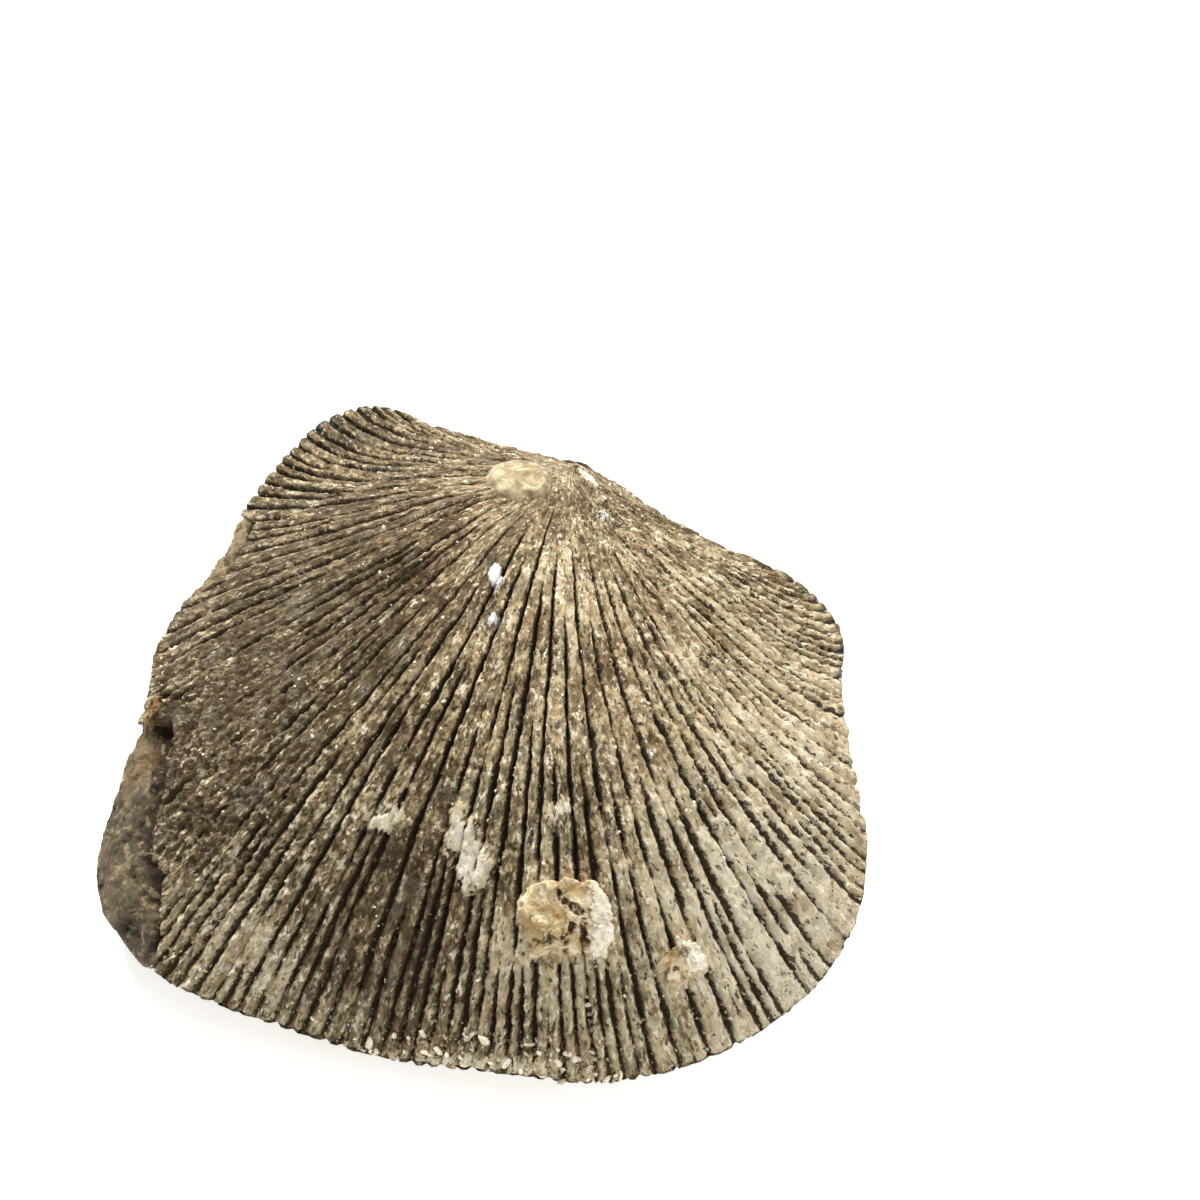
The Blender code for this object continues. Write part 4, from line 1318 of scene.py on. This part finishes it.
def gritTree(name, defaults, chosen):
    # grains where the attribute called chosen is high, on the outside only
    tree, sizes = newTree(name, defaults)
    where = put(tree, "GeometryNodeInputPosition").outputs[0]
    outside = ramp(tree, attribute(tree, "skin"), 0.1, 0.2)
    clumps = ramp(tree, noise(tree, where, sizes["Patch Size"], 2.0, 0.5, sizes["Seed"]), 0.42, 0.6, 0.35, 1.6)
    edge = timesPlus(tree, ramp(tree, attribute(tree, "out"), 0.94, 0.985), sizes["Edge Grains"], 1.0)
    there = times(tree, outside, ramp(tree, attribute(tree, chosen), 0.3, 0.6))
    density = times(tree, times(tree, there, clumps), times(tree, edge, sizes["Grains"]))
    inputs = {"Mesh": sizes["Mesh"], "Density": density}
    points = put(tree, "GeometryNodeDistributePointsOnFaces", inputs, distribute_method="RANDOM").outputs[0]
    grain = put(tree, "GeometryNodeMeshIcoSphere", {"Radius": 1.0, "Subdivisions": 1}).outputs[0]
    corner = put(tree, "GeometryNodeInputPosition").outputs[0]
    dent = timesPlus(tree, noise(tree, corner, 0.6, 1.0, 0.5, sizes["Seed"]), 2.4, -1.2)
    grain = put(tree, "GeometryNodeSetPosition", {0: grain, "Offset": scaled(tree, corner, dent)}).outputs[0]

    def chosenAt(seed, low, high):      # one random number a grain
        inputs = {2: low, 3: high, "Seed": seed}
        return put(tree, "FunctionNodeRandomValue", inputs, data_type="FLOAT").outputs[1]

    inputs = {1: (grainTurn,) * 3}
    turn = put(tree, "FunctionNodeRandomValue", inputs, data_type="FLOAT_VECTOR").outputs[0]
    inputs = {0: grainLeast, 1: grainMost, "Seed": 2}
    stretch = put(tree, "FunctionNodeRandomValue", inputs, data_type="FLOAT_VECTOR").outputs[0]
    chance = chosenAt(3, 0.0, 1.0)
    spread = minus(tree, sizes["Largest"], sizes["Smallest"])
    size = timesPlus(tree, calc(tree, "POWER", chance, 5.0), spread, sizes["Smallest"])
    stretch = scaled(tree, stretch, size)
    inputs = {"Points": points, "Instance": grain, "Rotation": turn, "Scale": stretch}
    placed = put(tree, "GeometryNodeInstanceOnPoints", inputs).outputs[0]
    shade = plus(tree, chosenAt(4, -0.5, 0.3), calc(tree, "POWER", chance, 3.0))
    endTree(tree, store(tree, placed, "shade", shade, "INSTANCE"), sizes["Finish"], smooth=False)
    return tree


def buildGrit(name, valve, tree, sizes, material):
    thing = bpy.data.objects.new(name, valve.data.copy())
    bpy.context.scene.collection.objects.link(thing)
    runTree(thing, tree, sizes, material)
    return thing


def gritMaterial():
    material, tree, surface = newMaterial("limestone grit")
    where = put(tree, "ShaderNodeTexCoord").outputs["Object"]
    shade = shaderValue(tree, "shade")
    base = blendColour(tree, ramp(tree, shade, -0.3, 0.1), stone["dark"], stone["tan"])
    base = blendColour(tree, ramp(tree, shade, 0.1, 0.5), base, stone["pale"])
    base = blendColour(tree, ramp(tree, shade, 0.5, 0.8), base, stone["cream"])
    base = blots(tree, where, base, stone["ochre"], 0.1 * mm, 0.45, 0.6, 1.0, 0.4)
    rough = ramp(tree, noise(tree, where, 0.1 * mm, 2.0, 0.5, 3.0), 0.3, 0.7, 0.6, 0.9)
    relief = noise(tree, where, 0.06 * mm, 3.0, 0.6, 2.0)
    finishSurface(tree, surface, base, rough, relief, 0.4, 0.04 * mm)
    return material


# ---- floor, light and camera ----

studio = {
    "floorSide": 1.6,
    # turn, rise, power, size and tint
    "lights": {
        "keyLight": (133.0, 40.0, 5.0, 0.22, (1.0, 0.98, 0.95)),
        "fillLight": (20.0, 50.0, 1.8, 0.5, (1.0, 0.99, 0.97)),
    },
    "lightAway": 0.6,
    "sky": 0.5,
    "floorGlow": 0.62,
    "paper": ((0.78, 0.78, 0.775, 1.0), (0.82, 0.82, 0.815, 1.0)),
    "glowTint": (1.0, 0.985, 0.955, 1.0),
    "cameraFrom": (31.95, -45.6, 126.9),
    "cameraTurn": 28.0,
    "cameraRise": 61.0,
    "lens": 60.0,
}


def floorMaterial():
    material, tree, surface = newMaterial("white paper")
    where = put(tree, "ShaderNodeTexCoord").outputs["Object"]
    shade = noise(tree, where, 2.0 * mm, 4.0, 0.6, 1.0)
    base = blendColour(tree, shade, *studio["paper"])
    rough = ramp(tree, shade, 0.3, 0.7, 0.85, 0.95)
    fibre = noise(tree, where, 0.3 * mm, 3.0, 0.6, 2.0)
    finishSurface(tree, surface, base, rough, fibre, 0.05, 0.02 * mm, 0.1)
    surface.inputs["Emission Color"].default_value = studio["glowTint"]
    surface.inputs["Emission Strength"].default_value = studio["floorGlow"]
    return material


def buildFloor():
    half = studio["floorSide"] / 2.0
    mesh = bpy.data.meshes.new("floor")
    mesh.from_pydata([(-half, -half, 0), (half, -half, 0), (half, half, 0), (-half, half, 0)], [], [(0, 1, 2, 3)])
    mesh.materials.append(floorMaterial())
    floor = bpy.data.objects.new("floor", mesh)
    bpy.context.scene.collection.objects.link(floor)


def addLight(name, turn, rise, power, size, tint):
    light = bpy.data.lights.new(name, "AREA")
    light.energy = power
    light.size = size
    light.color = tint
    holder = bpy.data.objects.new(name, light)
    turn, rise = math.radians(turn), math.radians(rise)
    direction = Vector((math.cos(turn) * math.cos(rise), math.sin(turn) * math.cos(rise), math.sin(rise)))
    holder.location = direction * studio["lightAway"]
    holder.rotation_euler = direction.to_track_quat("Z", "Y").to_euler()
    bpy.context.scene.collection.objects.link(holder)


def buildStudio():
    buildFloor()
    for name, settings in studio["lights"].items():
        addLight(name, *settings)
    world = bpy.data.worlds.new("softSky")
    world.use_nodes = True
    world.node_tree.nodes["Background"].inputs[0].default_value = (1.0, 1.0, 1.0, 1.0)
    world.node_tree.nodes["Background"].inputs[1].default_value = studio["sky"]
    bpy.context.scene.world = world
    camera = bpy.data.objects.new("camera", bpy.data.cameras.new("camera"))
    camera.data.lens = studio["lens"]
    camera.data.sensor_width = 36.0
    camera.data.clip_start = 1.0 * mm
    turn, rise = math.radians(studio["cameraTurn"]), math.radians(studio["cameraRise"])
    back = Vector((math.sin(turn) * math.cos(rise), -math.cos(turn) * math.cos(rise), math.sin(rise)))
    camera.location = Vector(studio["cameraFrom"]) * mm
    camera.rotation_euler = back.to_track_quat("Z", "Y").to_euler()
    bpy.context.scene.collection.objects.link(camera)
    bpy.context.scene.camera = camera
    bpy.context.scene.view_settings.view_transform = "Standard"


def addPiece(thing):
    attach(thing, "root")
    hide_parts("brachiopod")


buildStudio()
print("floor, light and camera are in place")
valveFinish = valveMaterial()
carve = carvingTree()
valves = buildUpperValve(carve, valveFinish)
gritFinish = gritMaterial()
scatter = gritTree("scatteredGrit", grit, "skin")
for thing in valves:
    grains = buildGrit(thing.name.replace("upperValve", "grit"), thing, scatter, grit, gritFinish)
    addPiece(thing)
    addPiece(grains)
    print(thing.name, len(thing.data.polygons), "faces and", len(grains.data.polygons), "of grit")
scatter = gritTree("looseCrumbs", crumbs, "crumbs")
for thing in valves[:2]:        # none lie on the third
    addPiece(buildGrit(thing.name.replace("upperValve", "crumbs"), thing, scatter, crumbs, gritFinish))
print("crumbs along the edge")
addPiece(buildRock(rockMaterial()))
print("rock between the valves")
addPiece(buildLowerValve(carve, valveFinish))
print("lower valve")
crustTree = rockTree("crust", crustCarving["bigCrust"])
for name, form in crusts.items():
    finish = crustMaterial(form["finish"], *(colour(*tint) for tint in form["colours"]))
    addPiece(buildCrust(name, crustTree, finish))
    print(name)
